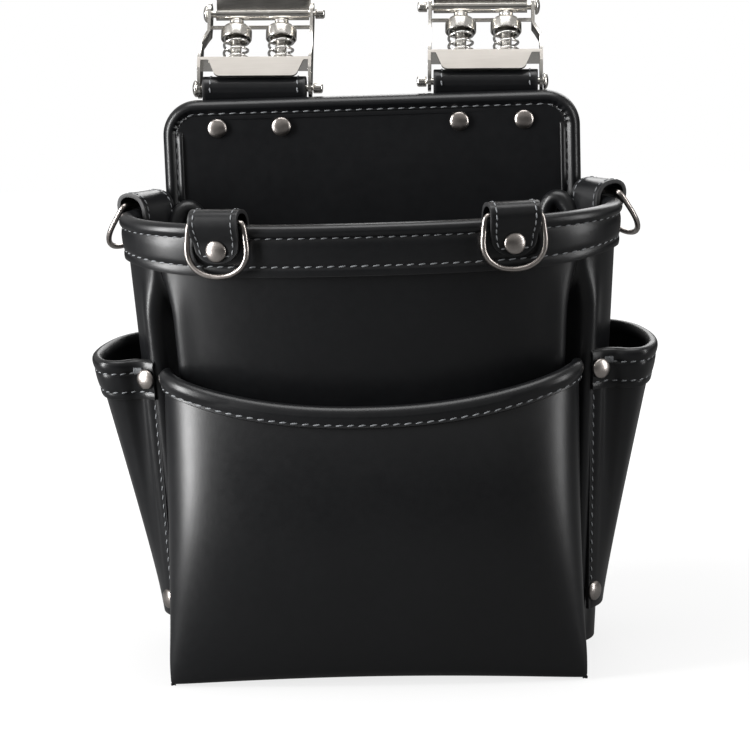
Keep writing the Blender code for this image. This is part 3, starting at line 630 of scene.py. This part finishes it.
def main_bag():
    end = 0.012
    for side_name, side in SIDES:
        start, stop = (SEAM_SHARE, end) if side > 0 else (2 - end, 2 - SEAM_SHARE)
        piece = bag_wall(start, stop, 64, 48)
        finished(piece, "gusset_leather_" + side_name, BLACK, nodes=["gusset_" + side_name])
        pleat(side_name, side)
    seam = SEAM_SHARE + 0.003
    piece = bag_wall(2 - seam, seam, 110, 60)
    finished(piece, "bag_front_leather", BLACK, nodes=["bag_front_panel"])


RIM_SECTION = [(-3.3, -15), (-3.4, -9), (-4.0, -4), (-5.1, -0.6), (-4.6, 2.0), (-2.6, 3.5), (-0.4, 3.5),
               (1.6, 2.5), (2.4, 0.7), (2.0, -0.9), (1.0, -2.2), (1.5, -3.8), (1.9, -6.5), (1.9, -10.5),
               (1.7, -14), (1.0, -16), (1.6, -17.6), (1.7, -19.2), (1.55, -20.7)]


def rim_place(share, along, extra=0.0):
    out, up = smooth_point(RIM_SECTION, along)
    y = bag_plan(share, RIM_HEIGHT)[1]
    near = min(share, 2 - share)
    narrower = blend(0.84, 1, eased((near - 0.3) / 0.35)) if up < 0 else 1
    z = rim_z(y) + up * narrower * MM
    lean = outward(bag_plan, share, RIM_HEIGHT)
    base = skin(share, min(z, RIM_HEIGHT + 8 * MM), 0)
    return base + lean * (out * MM + extra)


def rim():
    """One leather strip folded over the rim: a soft roll on top, a flat sewn band below."""
    end = 0.02
    piece = leather_sheet(210, 54, lambda u, v: rim_place(blend(2 - end, end, u), 1 - v), 1.4 * MM, 0)
    finished(piece, "rim_band_leather", BLACK, nodes=["rim_band", "rim_binding"])

    def thread(row):
        def stitch(t):
            share = blend(2 - end - 0.012, end + 0.012, t)
            point = rim_place(share, row / (len(RIM_SECTION) - 1), 0.7 * MM)
            return point, outward(bag_plan, share, RIM_HEIGHT)
        return sampled(400, stitch)
    sewn("rim_stitches", [thread(10), thread(15)])


# ---- back panel

def back_outline(inset):
    """Outline of the back from the left foot up and over to the right foot."""
    half, top, corner = BACK_HALF - inset, BACK_HEIGHT - inset, BACK_CORNER - inset
    left = arc((-half + corner, top - corner), corner, 180, 90, 20)
    right = arc((half - corner, top - corner), corner, 90, 0, 20)
    return [(-half, 0)] + left + right + [(half, 0)]


def spaced(points, step):
    """The same outline with points at about equal steps."""
    result = []
    for a, b in zip(points, points[1:]):
        a, b = Vector(a), Vector(b)
        count = max(round((b - a).length / step), 1)
        result += [a.lerp(b, i / count) for i in range(count)]
    return result + [Vector(points[-1])]


BINDING = [(10.4, 0.0), (10.3, 1.3), (9.4, 1.9), (8.2, 1.5), (7.0, 0.7), (5.8, 1.5), (4.2, 2.4), (2.4, 2.0),
           (0.8, 0.4), (0.0, -2.0), (0.0, -4.0), (0.8, -6.4), (2.4, -8.0), (4.2, -8.4), (5.8, -7.5),
           (7.0, -6.7), (8.2, -7.5), (9.4, -7.9), (10.3, -7.3), (10.4, -6.0)]


def corner_share(point):
    """1 on the rounded top corners, 0 along the straight edges."""
    x = (abs(point.x) - (BACK_HALF - BACK_CORNER)) / (5 * MM)
    z = (point.y - (BACK_HEIGHT - BACK_CORNER)) / (5 * MM)
    return eased(x) * eased(z)


def back_frame(line, i):
    ahead, behind = line[min(i + 1, len(line) - 1)], line[max(i - 1, 0)]
    along = (ahead - behind).normalized()
    return line[i], Vector((along.y, -along.x))


def back_binding():
    line = spaced(back_outline(0), 2.2 * MM)

    def edge_point(i, inset, forward):
        point, inward = back_frame(line, i)
        flat = point + inward * inset * MM
        return Vector((flat.x, BACK_Y - forward * MM, flat.y))

    def place(u, v):
        i = round(u * (len(line) - 1))
        point = line[i]
        inset, forward = smooth_point(BINDING + [BINDING[0]], v)
        pucker = 0.35 * corner_share(point) * math.sin(i * 2.1) * dip(inset - 6.5, 2.5)
        forward += pucker if forward > -3 else -pucker
        if forward > 0 and inset > 7.6:
            flat_top = eased((point.y - (BACK_HEIGHT - 22 * MM)) / (12 * MM))
            forward *= blend(1, 0.25, flat_top)
        return edge_point(i, inset, forward)

    piece = grid(len(line) - 1, 56, place)
    closed_up(piece)
    uncut(piece)
    finished(piece, "back_edge_binding", BLACK, nodes=["back_binding"])
    rows = [[(edge_point(i, 7.0, forward), Vector((0, way, 0))) for i in range(1, len(line) - 1)]
            for forward, way in ((0.55, -1), (-6.55, 1))]
    sewn("back_edge_stitches", rows, slant=7)


def back_wave(x, z):
    """The panel's slight hollow between its sewn edges."""
    across = x / BACK_HALF
    up = z / BACK_HEIGHT
    return -(1.0 * across * across + 0.35 * math.sin(5.2 * up + 1.1 + across) * (1 - across ** 4)) * MM


def back():
    def face(way, depth):
        def place(u, v):
            z = blend(0.2 * MM, BACK_HEIGHT - FACE_INSET, 1 - (1 - v) ** 1.6)
            corner = BACK_CORNER - FACE_INSET
            over = max(z - (BACK_HEIGHT - FACE_INSET - corner), 0)
            half = BACK_HALF - FACE_INSET - corner + math.sqrt(max(corner ** 2 - over ** 2, 0))
            x = blend(-half, half, u) * way
            return Vector((x, BACK_Y + depth + (back_wave(x, z) if way > 0 else 0), z))
        return place
    panel = leather_sheet(90, 110, face(1, 0), 1.0 * MM)
    finished(panel, "back_panel_leather", BLACK, nodes=["back_panel"])
    cover = leather_sheet(60, 80, face(-1, BACK_DEPTH), 1.2 * MM)
    finished(cover, "back_cover_leather", BLACK, nodes=["back_cover"])
    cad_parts["back_stiffener"].data.materials.clear()
    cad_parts["back_stiffener"].data.materials.append(BOARD)


# ---- front pocket and bottom

def pocket_plan(share, z):
    """Front pocket skin: 0 where its right side wall meets the bag, 1 mid front, 2 left."""
    side = 1
    if share > 1:
        share, side = 2 - share, -1
    up = min(max(z / POCKET_CORNER_HEIGHT, 0), 1)
    edge = blend(POCKET_SIDE_FOOT, POCKET_SIDE_TOP, up ** 1.4)
    belly = POCKET_FOOT_DEPTH + (POCKET_BULGE - POCKET_FOOT_DEPTH) * math.sin(math.pi * up) ** 0.7
    belly = max(belly, blend(POCKET_FOOT_DEPTH, POCKET_MOUTH_DEPTH, up))
    flare = 0.7 * MM * dip(z - 10 * MM, 14 * MM) - 1.2 * MM * dip(z - 82 * MM, 60 * MM)
    half = POCKET_HALF_WIDTH + flare
    if share < POCKET_CORNER_SHARE:
        start = BACK_Y - bag_front_y(half - LEATHER, z) + 2 * GAP
        return side * half, BACK_Y - blend(start, edge, share / POCKET_CORNER_SHARE)
    angle = math.radians(90) * (share - POCKET_CORNER_SHARE) / (1 - POCKET_CORNER_SHARE)
    x = half * max(math.cos(angle), 0) ** 0.8
    return side * x, BACK_Y - edge - (belly - edge) * math.sin(angle) ** 0.8


def pocket_top(x):
    share = min(abs(x) / POCKET_HALF_WIDTH, 1)
    return POCKET_CORNER_HEIGHT - POCKET_ROLL - POCKET_SCOOP * (1 - share ** 2.2) + 0.8 * MM


def pocket_foot(x):
    """The lower edge arches up a little between the corners."""
    return 0.3 * MM + 3.2 * MM * (1 - min(abs(x) / POCKET_HALF_WIDTH, 1) ** 2)


POCKET_EDGE = [(-3.0, -12), (-3.3, -6), (-4.4, -1.5), (-3.9, 1.6), (-1.9, 3.0), (0.4, 2.8), (2.0, 1.2),
               (2.3, -0.8), (1.5, -2.9), (0.55, -4.7), (0.75, -6.2)]


def soft_plan(share, z):
    """The pocket's plan with its front corners rounded."""
    reach = min(0.035, share, 2 - share)
    places = [pocket_plan(share + reach * i / 3, z) for i in range(-3, 4)]
    return [sum(axis) / len(places) for axis in zip(*places)]


def soft_outward(share, z):
    ahead, behind = min(share + 0.02, 2), max(share - 0.02, 0)
    along = (Vector(soft_plan(ahead, z)) - Vector(soft_plan(behind, z))).normalized()
    return Vector((-along.y, along.x, 0))


def pocket_edge_place(share, along, extra=0.0):
    out, up = smooth_point(POCKET_EDGE, along)
    x = soft_plan(share, POCKET_CORNER_HEIGHT)[0]
    taper = blend(0.62, 1, eased(min(share, 2 - share) / 0.3))
    z = pocket_top(x) + up * MM * (taper if up > 0 else 1)
    near = min(z, pocket_top(x))
    return Vector((*soft_plan(share, near), z)) + soft_outward(share, near) * (out * taper * MM + extra)


def front_pocket():
    round_share = 0.06

    def place(u, v):
        share = 2 - 2 * u
        x = soft_plan(share, POCKET_CORNER_HEIGHT)[0]
        foot, top = pocket_foot(x), pocket_top(x) - 3.5 * MM
        radius = (2.2 + 3.3 * (1 - min(abs(x) / POCKET_HALF_WIDTH, 1) ** 2)) * MM
        z, inset = blend(foot + radius, top, (v - round_share) / (1 - round_share)), 0
        if v < round_share:
            angle = math.radians(90) * v / round_share
            z = foot + radius * (1 - math.cos(angle))
            inset = radius * (1 - math.sin(angle))
        return Vector((*soft_plan(share, z), z)) - soft_outward(share, foot + radius) * inset

    piece = leather_sheet(190, 100, place, LEATHER, even=False)
    finished(piece, "front_pocket_leather", BLACK, nodes=["front_pocket"])
    span = (1.985, 0.015)
    edge = leather_sheet(200, 36, lambda u, v: pocket_edge_place(blend(*span, u), 1 - v), 1.3 * MM, 0)
    finished(edge, "front_pocket_edge", BLACK, nodes=["front_pocket_binding"])

    def stitch(t):
        share = blend(1.93, 0.07, t)
        point = pocket_edge_place(share, 9.1 / (len(POCKET_EDGE) - 1), 0.62 * MM)
        return point, soft_outward(share, 120 * MM)
    sewn("front_pocket_stitches", [sampled(300, stitch)])


def bottom():
    """The leather bottom, a little arched, between the back and the front pocket's foot."""
    def place(u, v):
        x = blend(-1, 1, u)
        front = BACK_Y - POCKET_SIDE_FOOT - 2 * MM * (1 - x * x)
        y = blend(front + 3 * MM, BACK_Y - 1 * MM, v)
        half = POCKET_HALF_WIDTH - 0.6 * MM
        z = 2.9 * MM + 2.4 * MM * (1 - x * x) * (1 - v)
        return Vector((x * half, y, z))
    piece = leather_sheet(60, 30, place, 2.4 * MM)
    finished(piece, "bottom_leather", BLACK, nodes=["bag_bottom"])


# ---- side pockets

def side_plan(share, z):
    """Right side pocket skin, from its back edge (0) round to its front seam (1)."""
    up = (z - SIDE_BOTTOM) / (SIDE_TOP - SIDE_BOTTOM)
    mouth, foot = smooth_point(SIDE_MOUTH, 1 - share), smooth_point(SIDE_FOOT, 1 - share)
    x, ahead = [blend(a, b, up) * MM for a, b in zip(foot, mouth)]
    return x, BACK_Y - ahead


def side_top(y):
    return SIDE_TOP + SIDE_RISE * (y - (BACK_Y - 60 * MM))


def side_point(side, share, z, out):
    x, y = side_plan(share, z)
    normal = outward(side_plan, share, z, 0.02)
    return Vector((side * (x + normal.x * out), y + normal.y * out, z))


def side_normal(side, share, z):
    normal = outward(side_plan, share, z, 0.02)
    return Vector((side * normal.x, normal.y, 0))


SIDE_EDGE = [(-2.9, -11), (-2.9, -6), (-3.3, -2.4), (-2.6, 0.2), (-1.2, 1.1), (0.3, 0.4), (1.0, -1.4),
             (1.05, -3.4), (0.6, -5.0), (1.1, -6.6), (1.25, -9.8), (1.15, -13.0), (0.75, -14.6),
             (1.1, -16.2), (1.0, -18.2)]


def side_edge_place(side, share, along, extra=0.0):
    out, up = smooth_point(SIDE_EDGE, along)
    y = side_plan(share, SIDE_TOP)[1]
    z = side_top(y) + up * MM
    near = min(z, side_top(y))
    point = side_point(side, share, near, out * MM + extra)
    point.z = z
    return point


def side_pocket(side_name, side):
    def turn(u):
        return u if side > 0 else 1 - u

    def wall(u, v):
        share = turn(1 - u)
        y = side_plan(share, SIDE_TOP)[1]
        z = blend(SIDE_BOTTOM, side_top(y) - 2 * MM, v)
        seam = (1 - share) * SIDE_REACH
        sew = -0.35 * MM * dip(seam - SIDE_SEAM_INSET, 1.6 * MM)
        fold = 1.1 * MM * dip(seam - 11 * MM, 5 * MM) * eased(v * 1.4)
        return side_point(side, share, z, sew + fold)

    name = "side_pocket_leather_" + side_name
    piece = leather_sheet(100, 60, wall, SIDE_LEATHER)
    finished(piece, name, BLACK, nodes=["side_pocket_" + side_name])
    span = (0.995, 0.01)
    band = leather_sheet(110, 44, lambda u, v: side_edge_place(side, blend(*span, turn(u)), 1 - v),
                         1.3 * MM, 0)
    finished(band, "side_band_leather_" + side_name, BLACK, nodes=["side_band_" + side_name])

    def on_band(share, row, raised):
        point = side_edge_place(side, share, row / (len(SIDE_EDGE) - 1), raised)
        return point, side_normal(side, share, SIDE_TOP)

    def on_seam(t):
        z = blend(SIDE_BOTTOM + 14 * MM, SIDE_TOP - 20 * MM, t)
        share = 1 - SIDE_SEAM_INSET / SIDE_REACH
        return side_point(side, share, z, -0.1 * MM), side_normal(side, share, z)

    rows = [sampled(120, lambda t: on_band(blend(0.03, 0.985, t), row, 0.62 * MM)) for row in (8, 12)]
    sewn("side_band_stitches_" + side_name, rows, SIDE_PITCH)
    sewn("side_seam_stitches_" + side_name, [sampled(160, on_seam)], SIDE_PITCH, slant=14 * side)
    tack = [[on_band(blend(0.885, 0.815, i / 5), row, 0.75 * MM) for row in (6.6, 8.2)]
            for i in range(6)]
    sewn("side_bar_tack_" + side_name, tack, 4.6 * MM, 0.85, 0.95 * MM, 0, 0.2 * MM)


# ---- rivets

def rivet(name, place, direction, grip, cap=4.95):
    """A domed rivet: set tail inside, shank through the leather, low dome outside."""
    tail = -(grip + GAP) / MM
    profile = [(1.2, tail - 1.3), (2.9, tail - 1.2), (3.6, tail - 0.7), (3.7, tail), (1.5, tail),
               (1.5, 0.1), (cap * 0.96, 0.1), (cap, 0.5), (cap * 0.985, 0.95), (cap * 0.9, 1.4),
               (cap * 0.72, 1.8), (cap * 0.48, 2.1), (cap * 0.22, 2.26), (cap * 0.05, 2.3)]
    piece = turned(profile, 36)
    put(piece, facing(place, direction))
    return finished(piece, name + "_domed", ANTIQUE, nodes=[name], angle=50)


# ---- tabs and D-rings

RING_HALF_LINE = [(0, 0), (6, 0), (11.8, 0), (13.6, -0.9), (14.4, -3.2), (15.0, -8), (15.4, -12.8),
                  (14.7, -17.6), (11.9, -22), (7.3, -24.9), (2.4, -26)]


def ring_points():
    """The D: a straight bar along X at the top, hanging down in the XZ plane."""
    half = RING_HALF_LINE + [(-x, z) for x, z in reversed(RING_HALF_LINE[1:])]
    count = 96
    return [Vector((x * MM, 0, z * MM)) for x, z in
            [smooth_point(half + [half[0]], i / count) for i in range(count)]]


def rim_frame(share):
    """A frame on the rim: X along it to the viewer's right, Y inwards, Z up."""
    x, y = bag_plan(share, RIM_HEIGHT)
    inward = -outward(bag_plan, share, RIM_HEIGHT, 0.002)
    turn = Matrix((inward.cross(UP), inward, UP)).transposed().to_4x4()
    return Matrix.Translation((x, y, rim_z(y))) @ turn


def tab_length():
    flat = [Vector((out, up)) for out, up, _ in TAB_LINE]
    return sum((b - a).length for a, b in zip(flat, flat[1:]))


def tab_point(across, along, raised=0.0):
    """A point of the tab: across from -1 to 1, along from inside the bag to the tip."""
    out, up, half = smooth_point(TAB_LINE, along)
    ahead = Vector(smooth_point(TAB_LINE, min(along + 0.01, 1))[:2])
    behind = Vector(smooth_point(TAB_LINE, max(along - 0.01, 0))[:2])
    way = (ahead - behind).normalized()
    left = (1 - along) * tab_length()
    if left < TAB_TIP:
        half *= math.sqrt(max(1 - ((TAB_TIP - left) / TAB_TIP) ** 2, 0.03))
    normal = Vector((0, way.y, way.x))
    return Vector((across * half, -out, up)) * MM + normal * raised, normal


def ring_and_tab(where, share, lift):
    frame_here = rim_frame(share)
    body = "ring_" + where
    ring = swept(ring_points(), WIRE, 14, closed=True)
    hinge = frame_here @ Matrix.Translation((0, -RING_BAR[0], RING_BAR[1]))
    put(ring, hinge @ Matrix.Rotation(math.radians(-lift), 4, "X"))
    finished(ring, body + "_wire", ANTIQUE, body, [body], 60)

    def place(u, v):
        return frame_here @ tab_point(blend(-1, 1, u), 1 - v)[0]

    tab = leather_sheet(26, 96, place, 2.0 * MM, 0, 0.5 * MM)
    finished(tab, "ring_tab_leather_" + where, BLACK, nodes=["ring_tab_" + where])
    turn = frame_here.to_3x3()

    def stitch(across, along):
        point, normal = tab_point(across, along, 1.0 * MM)
        return frame_here @ point, turn @ normal

    inset = 0.78
    line = sampled(120, lambda t: stitch(-inset, blend(0.06, 0.9, t)))
    line += [stitch(blend(-inset, inset, i / 20) * 0.9, 0.925) for i in range(1, 20)]
    line += sampled(120, lambda t: stitch(inset, blend(0.9, 0.06, t)))
    sewn("ring_tab_stitches_" + where, [line], 3.6 * MM, 0.78, 0.8 * MM, 5)
    outer, inner = TAB_OUTSIDE + 1.0 * MM, TAB_INSIDE - 1.0 * MM
    head = frame_here @ Vector((0, -outer, -TAB_RIVET_DROP))
    rivet("tab_rivet_" + where, head, turn @ Vector((0, -1, 0)), outer - inner, 5.3)


def share_at(x_wanted):
    """The share of the half outline at which the rim has a given x."""
    low, high = SIDE_SHARE, 1.0
    for _ in range(40):
        middle = (low + high) / 2
        if bag_plan(middle, RIM_HEIGHT)[0] > x_wanted:
            low = middle
        else:
            high = middle
    return low


# ---- belt straps and clips

def clip_matrix(side, lean):
    place = Vector((side * CLIP_X, BACK_Y + STRAP_MIDDLE, STRAP_PIN_Z))
    turn = Matrix.Rotation(CLIP_TURN, 4, "Y") @ Matrix.Rotation(lean, 4, "X")
    return Matrix.Translation(place) @ turn


def belt_strap(side_name, side):
    """A strap that runs up from the rivets, round the clip's pin and back down."""
    matrix = clip_matrix(side, 0)
    middle = STRAP_LOOP_RADIUS - 1.1 * MM
    low, neck = -STRAP_DROP + 0.3 * MM, -9.5 * MM
    path = [(1.1 * MM, low), (1.1 * MM, neck)] + arc((0, 0), middle, -28, 208, 40)
    path = spaced(path + [(-1.1 * MM, neck), (-1.1 * MM, low)], 0.7 * MM)

    def place(u, v):
        at = (1 - v) * (len(path) - 1)
        i = min(int(at), len(path) - 2)
        y, z = path[i].lerp(path[i + 1], at - i)
        return matrix @ Vector((blend(-1, 1, u) * STRAP_HALF_WIDTH, y, z))

    strap = leather_sheet(28, 110, place, 2.0 * MM, 0, 0.45 * MM)
    finished(strap, "belt_strap_leather_" + side_name, BLACK, nodes=["belt_strap_" + side_name])
    rows = []
    turn = matrix.to_3x3()
    for x in (-22.5 * MM, 22.5 * MM):
        for depth, way in ((-2.1 * MM, -1), (2.1 * MM, 1)):
            rows.append([(matrix @ Vector((x, depth, z)), turn @ Vector((0, way, 0)))
                         for z in np.linspace(low + 2 * MM, -10 * MM, 30)])
        rows.append([(matrix @ Vector((x, y, z)), turn @ Vector((0, y, z)).normalized())
                     for y, z in arc((0, 0), STRAP_LOOP_RADIUS, 205, -25, 40)])
    sewn("belt_strap_stitches_" + side_name, rows, 3.9 * MM, 0.7, 0.85 * MM)


def pin(name, body, side, out_face, in_face, matrix):
    """A pin with a domed head at its outer end and a nut on its inner end."""
    top, foot, head = (out_face + GAP) / MM, in_face / MM, 4.5
    profile = [(1.2, foot - 3.4), (1.3, foot - 3.0), (1.3, foot), (1.9, foot), (1.9, top),
               (head * 0.95, top), (head, top + 0.35), (head * 0.99, top + 0.8),
               (head * 0.9, top + 1.45), (head * 0.7, top + 2.0), (head * 0.42, top + 2.35),
               (head * 0.12, top + 2.5)]
    lay = Matrix.Rotation(math.radians(90 * side), 4, "Y")
    piece = put(turned(profile, 40), matrix @ lay)
    finished(piece, name + "_domed", BRIGHT, body, [name], 50)
    nut_top = (in_face - 2 * GAP) / MM
    low = nut_top - 4.8
    profile = [(1.0, low - 0.1), (1.9, low), (2.45, low + 0.3), (2.75, low + 0.9),
               (2.75, nut_top - 0.3), (2.5, nut_top)]
    piece = put(turned(profile, 40), matrix @ lay)
    finished(piece, name + "_nut_turned", BRIGHT, body, [name + "_nut"], 50)


def refined(node, name, body, material, width):
    """A finer copy of a CAD piece: its triangles sewn, its flats joined, its edges rounded."""
    piece = bpy.data.objects.new(name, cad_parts[node].data.copy())
    bpy.context.scene.collection.objects.link(piece)
    editing(piece, lambda: bpy.ops.mesh.remove_doubles(threshold=2 * MERGE),
            lambda: bpy.ops.mesh.dissolve_limited(angle_limit=math.radians(2)))
    applied(piece, "BEVEL", width=width, segments=2, limit_method="ANGLE",
            angle_limit=math.radians(40), use_clamp_overlap=True)
    piece.data.materials.clear()
    finished(piece, name, material, body, [node], 35)
    applied(piece, "WEIGHTED_NORMAL", keep_sharp=True)
    return piece


def belt_hook(side_name, side, matrix):
    """The plate over the belt, rolled into a barrel round the hook pin."""
    low, high = (HOOK_IN, HOOK_OUT) if side > 0 else (-HOOK_OUT, -HOOK_IN)
    curl = arc((0, 0), 2.75, 150, 370, 22)
    outline = [(2.6, 3), (2.5, 8), (2.5, 30), (2.5, 48), (2.5, 52.5)]
    outline += arc((7, 52.5), 4.5, 180, 90, 6)[1:]
    outline += [(9, 57)] + arc((9, 52.5), 4.5, 90, 0, 6)
    outline += [(13.5, 40), (13.5, 24), (13.5, 12), (13.2, 7), (12.2, 4)]
    path = curl + outline

    def place(u, v):
        y, z = smooth_point(path, v)
        return matrix @ Vector((blend(low, high, u), y * MM, z * MM))

    hook = leather_sheet(8, 150, place, 1.3 * MM, 0, 0.3 * MM)
    hook.data.attributes.remove(hook.data.attributes["cut_edge"])
    finished(hook, "hook_plate_" + side_name, BRIGHT, "hook_" + side_name, ["belt_hook_" + side_name])


def plunger(side_name, where, x, matrix):
    name = side_name + "_" + where
    place = matrix @ Matrix.Translation((x, PLUNGER_Y, 0))
    profile = [(2.6, 10.4), (2.9, 10.8), (2.9, 32.0), (6.9, 32.0), (7.25, 31.6), (7.25, 28.1),
               (7.4, 27.8), (7.85, 27.8), (8.0, 28.1), (8.0, 32.6), (7.85, 33.2), (7.3, 33.9),
               (6.2, 35.0), (5.7, 35.3), (5.2, 35.45), (3.7, 35.5), (3.6, 35.8), (3.6, 38.1),
               (3.3, 38.6), (2.7, 38.8)]
    piece = put(turned(profile, 44), place)
    finished(piece, "plunger_cup_" + name, BRIGHT, "plunger_" + name, ["plunger_" + name], 24)

    def coil(t):
        angle = 2 * math.pi * SPRING_TURNS * t
        height = blend(SPRING_LOW - 0.2 * MM, SPRING_HIGH, eased(t) * 0.35 + t * 0.65)
        return Vector((SPRING_RADIUS * math.cos(angle), SPRING_RADIUS * math.sin(angle), height))

    spring = put(swept(sampled(300, coil), SPRING_WIRE, 12), place)
    body = "clip_" + side_name
    finished(spring, "coil_spring_" + name, STEEL, body, ["spring_" + name], 80)
    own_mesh(spring)


def brush_plate(piece, matrix):
    """Gives the front plate's face its brushed finish."""
    piece.data.materials.append(SATIN)
    into = matrix.inverted()
    for face in piece.data.polygons:
        forward = (into.to_3x3() @ face.normal).y < -0.9
        if forward and abs((into @ face.center).y - PLATE_Y) < MM:
            face.material_index = 1


def clip(side_name, side):
    matrix = clip_matrix(side, CLIP_LEAN)
    body = "clip_" + side_name
    shaped = refined("clip_frame_" + side_name, "clip_plate_frame_" + side_name, body, BRIGHT, 0.3 * MM)
    brush_plate(shaped, matrix)
    inner = CHEEK_IN - SHEET / 2
    pin("strap_pin_" + side_name, body, side, CHEEK_OUT_LOW + SHEET / 2, inner, matrix)
    high = matrix @ Matrix.Translation((0, *HOOK_PIN))
    pin("hook_pin_" + side_name, body, side, CHEEK_OUT_HIGH + SHEET / 2, inner, high)
    belt_hook(side_name, side, high @ Matrix.Rotation(-CLIP_LEAN, 4, "X"))
    for where, way in (("outer", 1), ("inner", -1)):
        plunger(side_name, where, side * (PLUNGER_SHIFT + way * PLUNGER_SPACING), matrix)


# ---- studio

def area_lamp(name, place, target, wide, tall, power):
    data = bpy.data.lights.new(name, "AREA")
    data.shape = "RECTANGLE"
    data.size, data.size_y = wide, tall
    data.energy = power
    lamp = bpy.data.objects.new(name, data)
    lamp.location = place
    lamp.rotation_euler = (Vector(target) - Vector(place)).to_track_quat("-Z", "Y").to_euler()
    bpy.context.scene.collection.objects.link(lamp)


def stage_material():
    """Pale to the eye, fading to white with distance; a duller grey where it throws light back."""
    finish = Finish("pale_backdrop", Base_Color=(0.13, 0.13, 0.13, 1), Roughness=0.9,
                    Specular_IOR_Level=0)
    distance = finish.node("ShaderNodeVectorMath", {"operation": "LENGTH"}, [finish.place], "Value")
    seen = finish.ray("Camera") * finish.fade(distance, 0.2, 0.55, 0.8, 1.0)
    mirrored = finish.ray("Glossy") * finish.fade(distance, 0.3, 0.7, 0.07, 0.03)
    return finish.paint(Emission_Color=(1, 1, 1, 1), Emission_Strength=mirrored + seen)


def studio():
    """A pale floor in a room that the camera sees white, and that lights softly from above."""
    bpy.ops.object.select_all(action="DESELECT")
    bpy.ops.mesh.primitive_plane_add(size=6, location=(0, 0, -0.3 * MM))
    floor = bpy.context.object
    floor.name = "pale_floor"
    floor.data.materials.append(stage_material())
    world = bpy.data.worlds.new("studio")
    bpy.context.scene.world = world
    world.use_nodes = True
    graph = Graph(world.node_tree)
    facing_up = graph.node("ShaderNodeTexCoord", {}, {}, "Generated")
    height = graph.node("ShaderNodeSeparateXYZ", {}, [facing_up], "Z")
    glow = graph.node("ShaderNodeBackground", {}, {
        "Color": (1, 0.99, 0.97, 1), "Strength": graph.fade(height, 0.02, 0.4, 0.03, 0.42)})
    white = graph.node("ShaderNodeBackground", {}, {"Color": (1, 1, 1, 1)})
    shown = graph.node("ShaderNodeMixShader", {}, [graph.ray("Camera"), glow, white])
    graph.feed(world.node_tree.nodes["World Output"].inputs["Surface"], shown)
    middle = (0, 0, 0.17)
    area_lamp("left_softbox", (-1.05, -0.42, 0.4), middle, 0.26, 1.1, 34)
    area_lamp("right_softbox", (1.15, -0.35, 0.4), middle, 0.22, 1.0, 8)
    area_lamp("top_softbox", (0.0, -0.1, 1.25), middle, 0.9, 0.6, 10)
    area_lamp("back_softbox", (0.2, 1.1, 0.9), middle, 1.0, 0.7, 9)


def camera():
    """A long lens a little above and to the right of the middle, turned so the pouch tilts."""
    distance, pitch, yaw, roll = 1.1, math.radians(9.5), math.radians(3), math.radians(1.9)
    target = Vector((1.31, -8, 145.17)) * MM
    back_way = Vector((math.sin(yaw) * math.cos(pitch), -math.cos(yaw) * math.cos(pitch),
                       math.sin(pitch)))
    data = bpy.data.cameras.new("camera")
    data.lens = 106.85
    data.sensor_width = 36
    holder = bpy.data.objects.new("camera", data)
    turn = (-back_way).to_track_quat("-Z", "Y").to_matrix().to_4x4()
    holder.matrix_world = (Matrix.Translation(target + back_way * distance) @ turn
                           @ Matrix.Rotation(-roll, 4, "Z"))
    bpy.context.scene.collection.objects.link(holder)
    bpy.context.scene.camera = holder


# ---- assembly

camera()
studio()
bpy.context.scene.view_settings.view_transform = "Standard"

main_bag()
rim()
back()
back_binding()
front_pocket()
bottom()
for side_word, sign in SIDES:
    side_pocket(side_word, sign)
    belt_strap(side_word, sign)
    clip(side_word, sign)
    for place_word, across in zip(("inner", "outer"), STRAP_RIVETS_X):
        head = Vector((sign * across, BACK_Y - 0.5 * MM, STRAP_RIVETS_Z))
        rivet("strap_rivet_{}_{}".format(side_word, place_word), head, Vector((0, -1, 0)),
              BACK_DEPTH + 2 * GAP + STRAP_LEATHER + 0.5 * MM)
    ring_and_tab("side_" + side_word, mirrored_share(sign, SIDE_TAB_SHARE), SIDE_RING_LIFT)
    ring_and_tab("front_" + side_word, mirrored_share(sign, share_at(FRONT_TAB_X)), 0)
    for which, height, out, grip in SIDE_RIVETS:
        head = side_point(sign, SIDE_RIVET_SHARE, height, out)
        flat = outward(side_plan, SIDE_RIVET_SHARE, height, 0.002)
        way = Vector((sign * flat.x, flat.y, 0))
        rivet("side_rivet_{}_{}".format(which, side_word), head, way, grip)
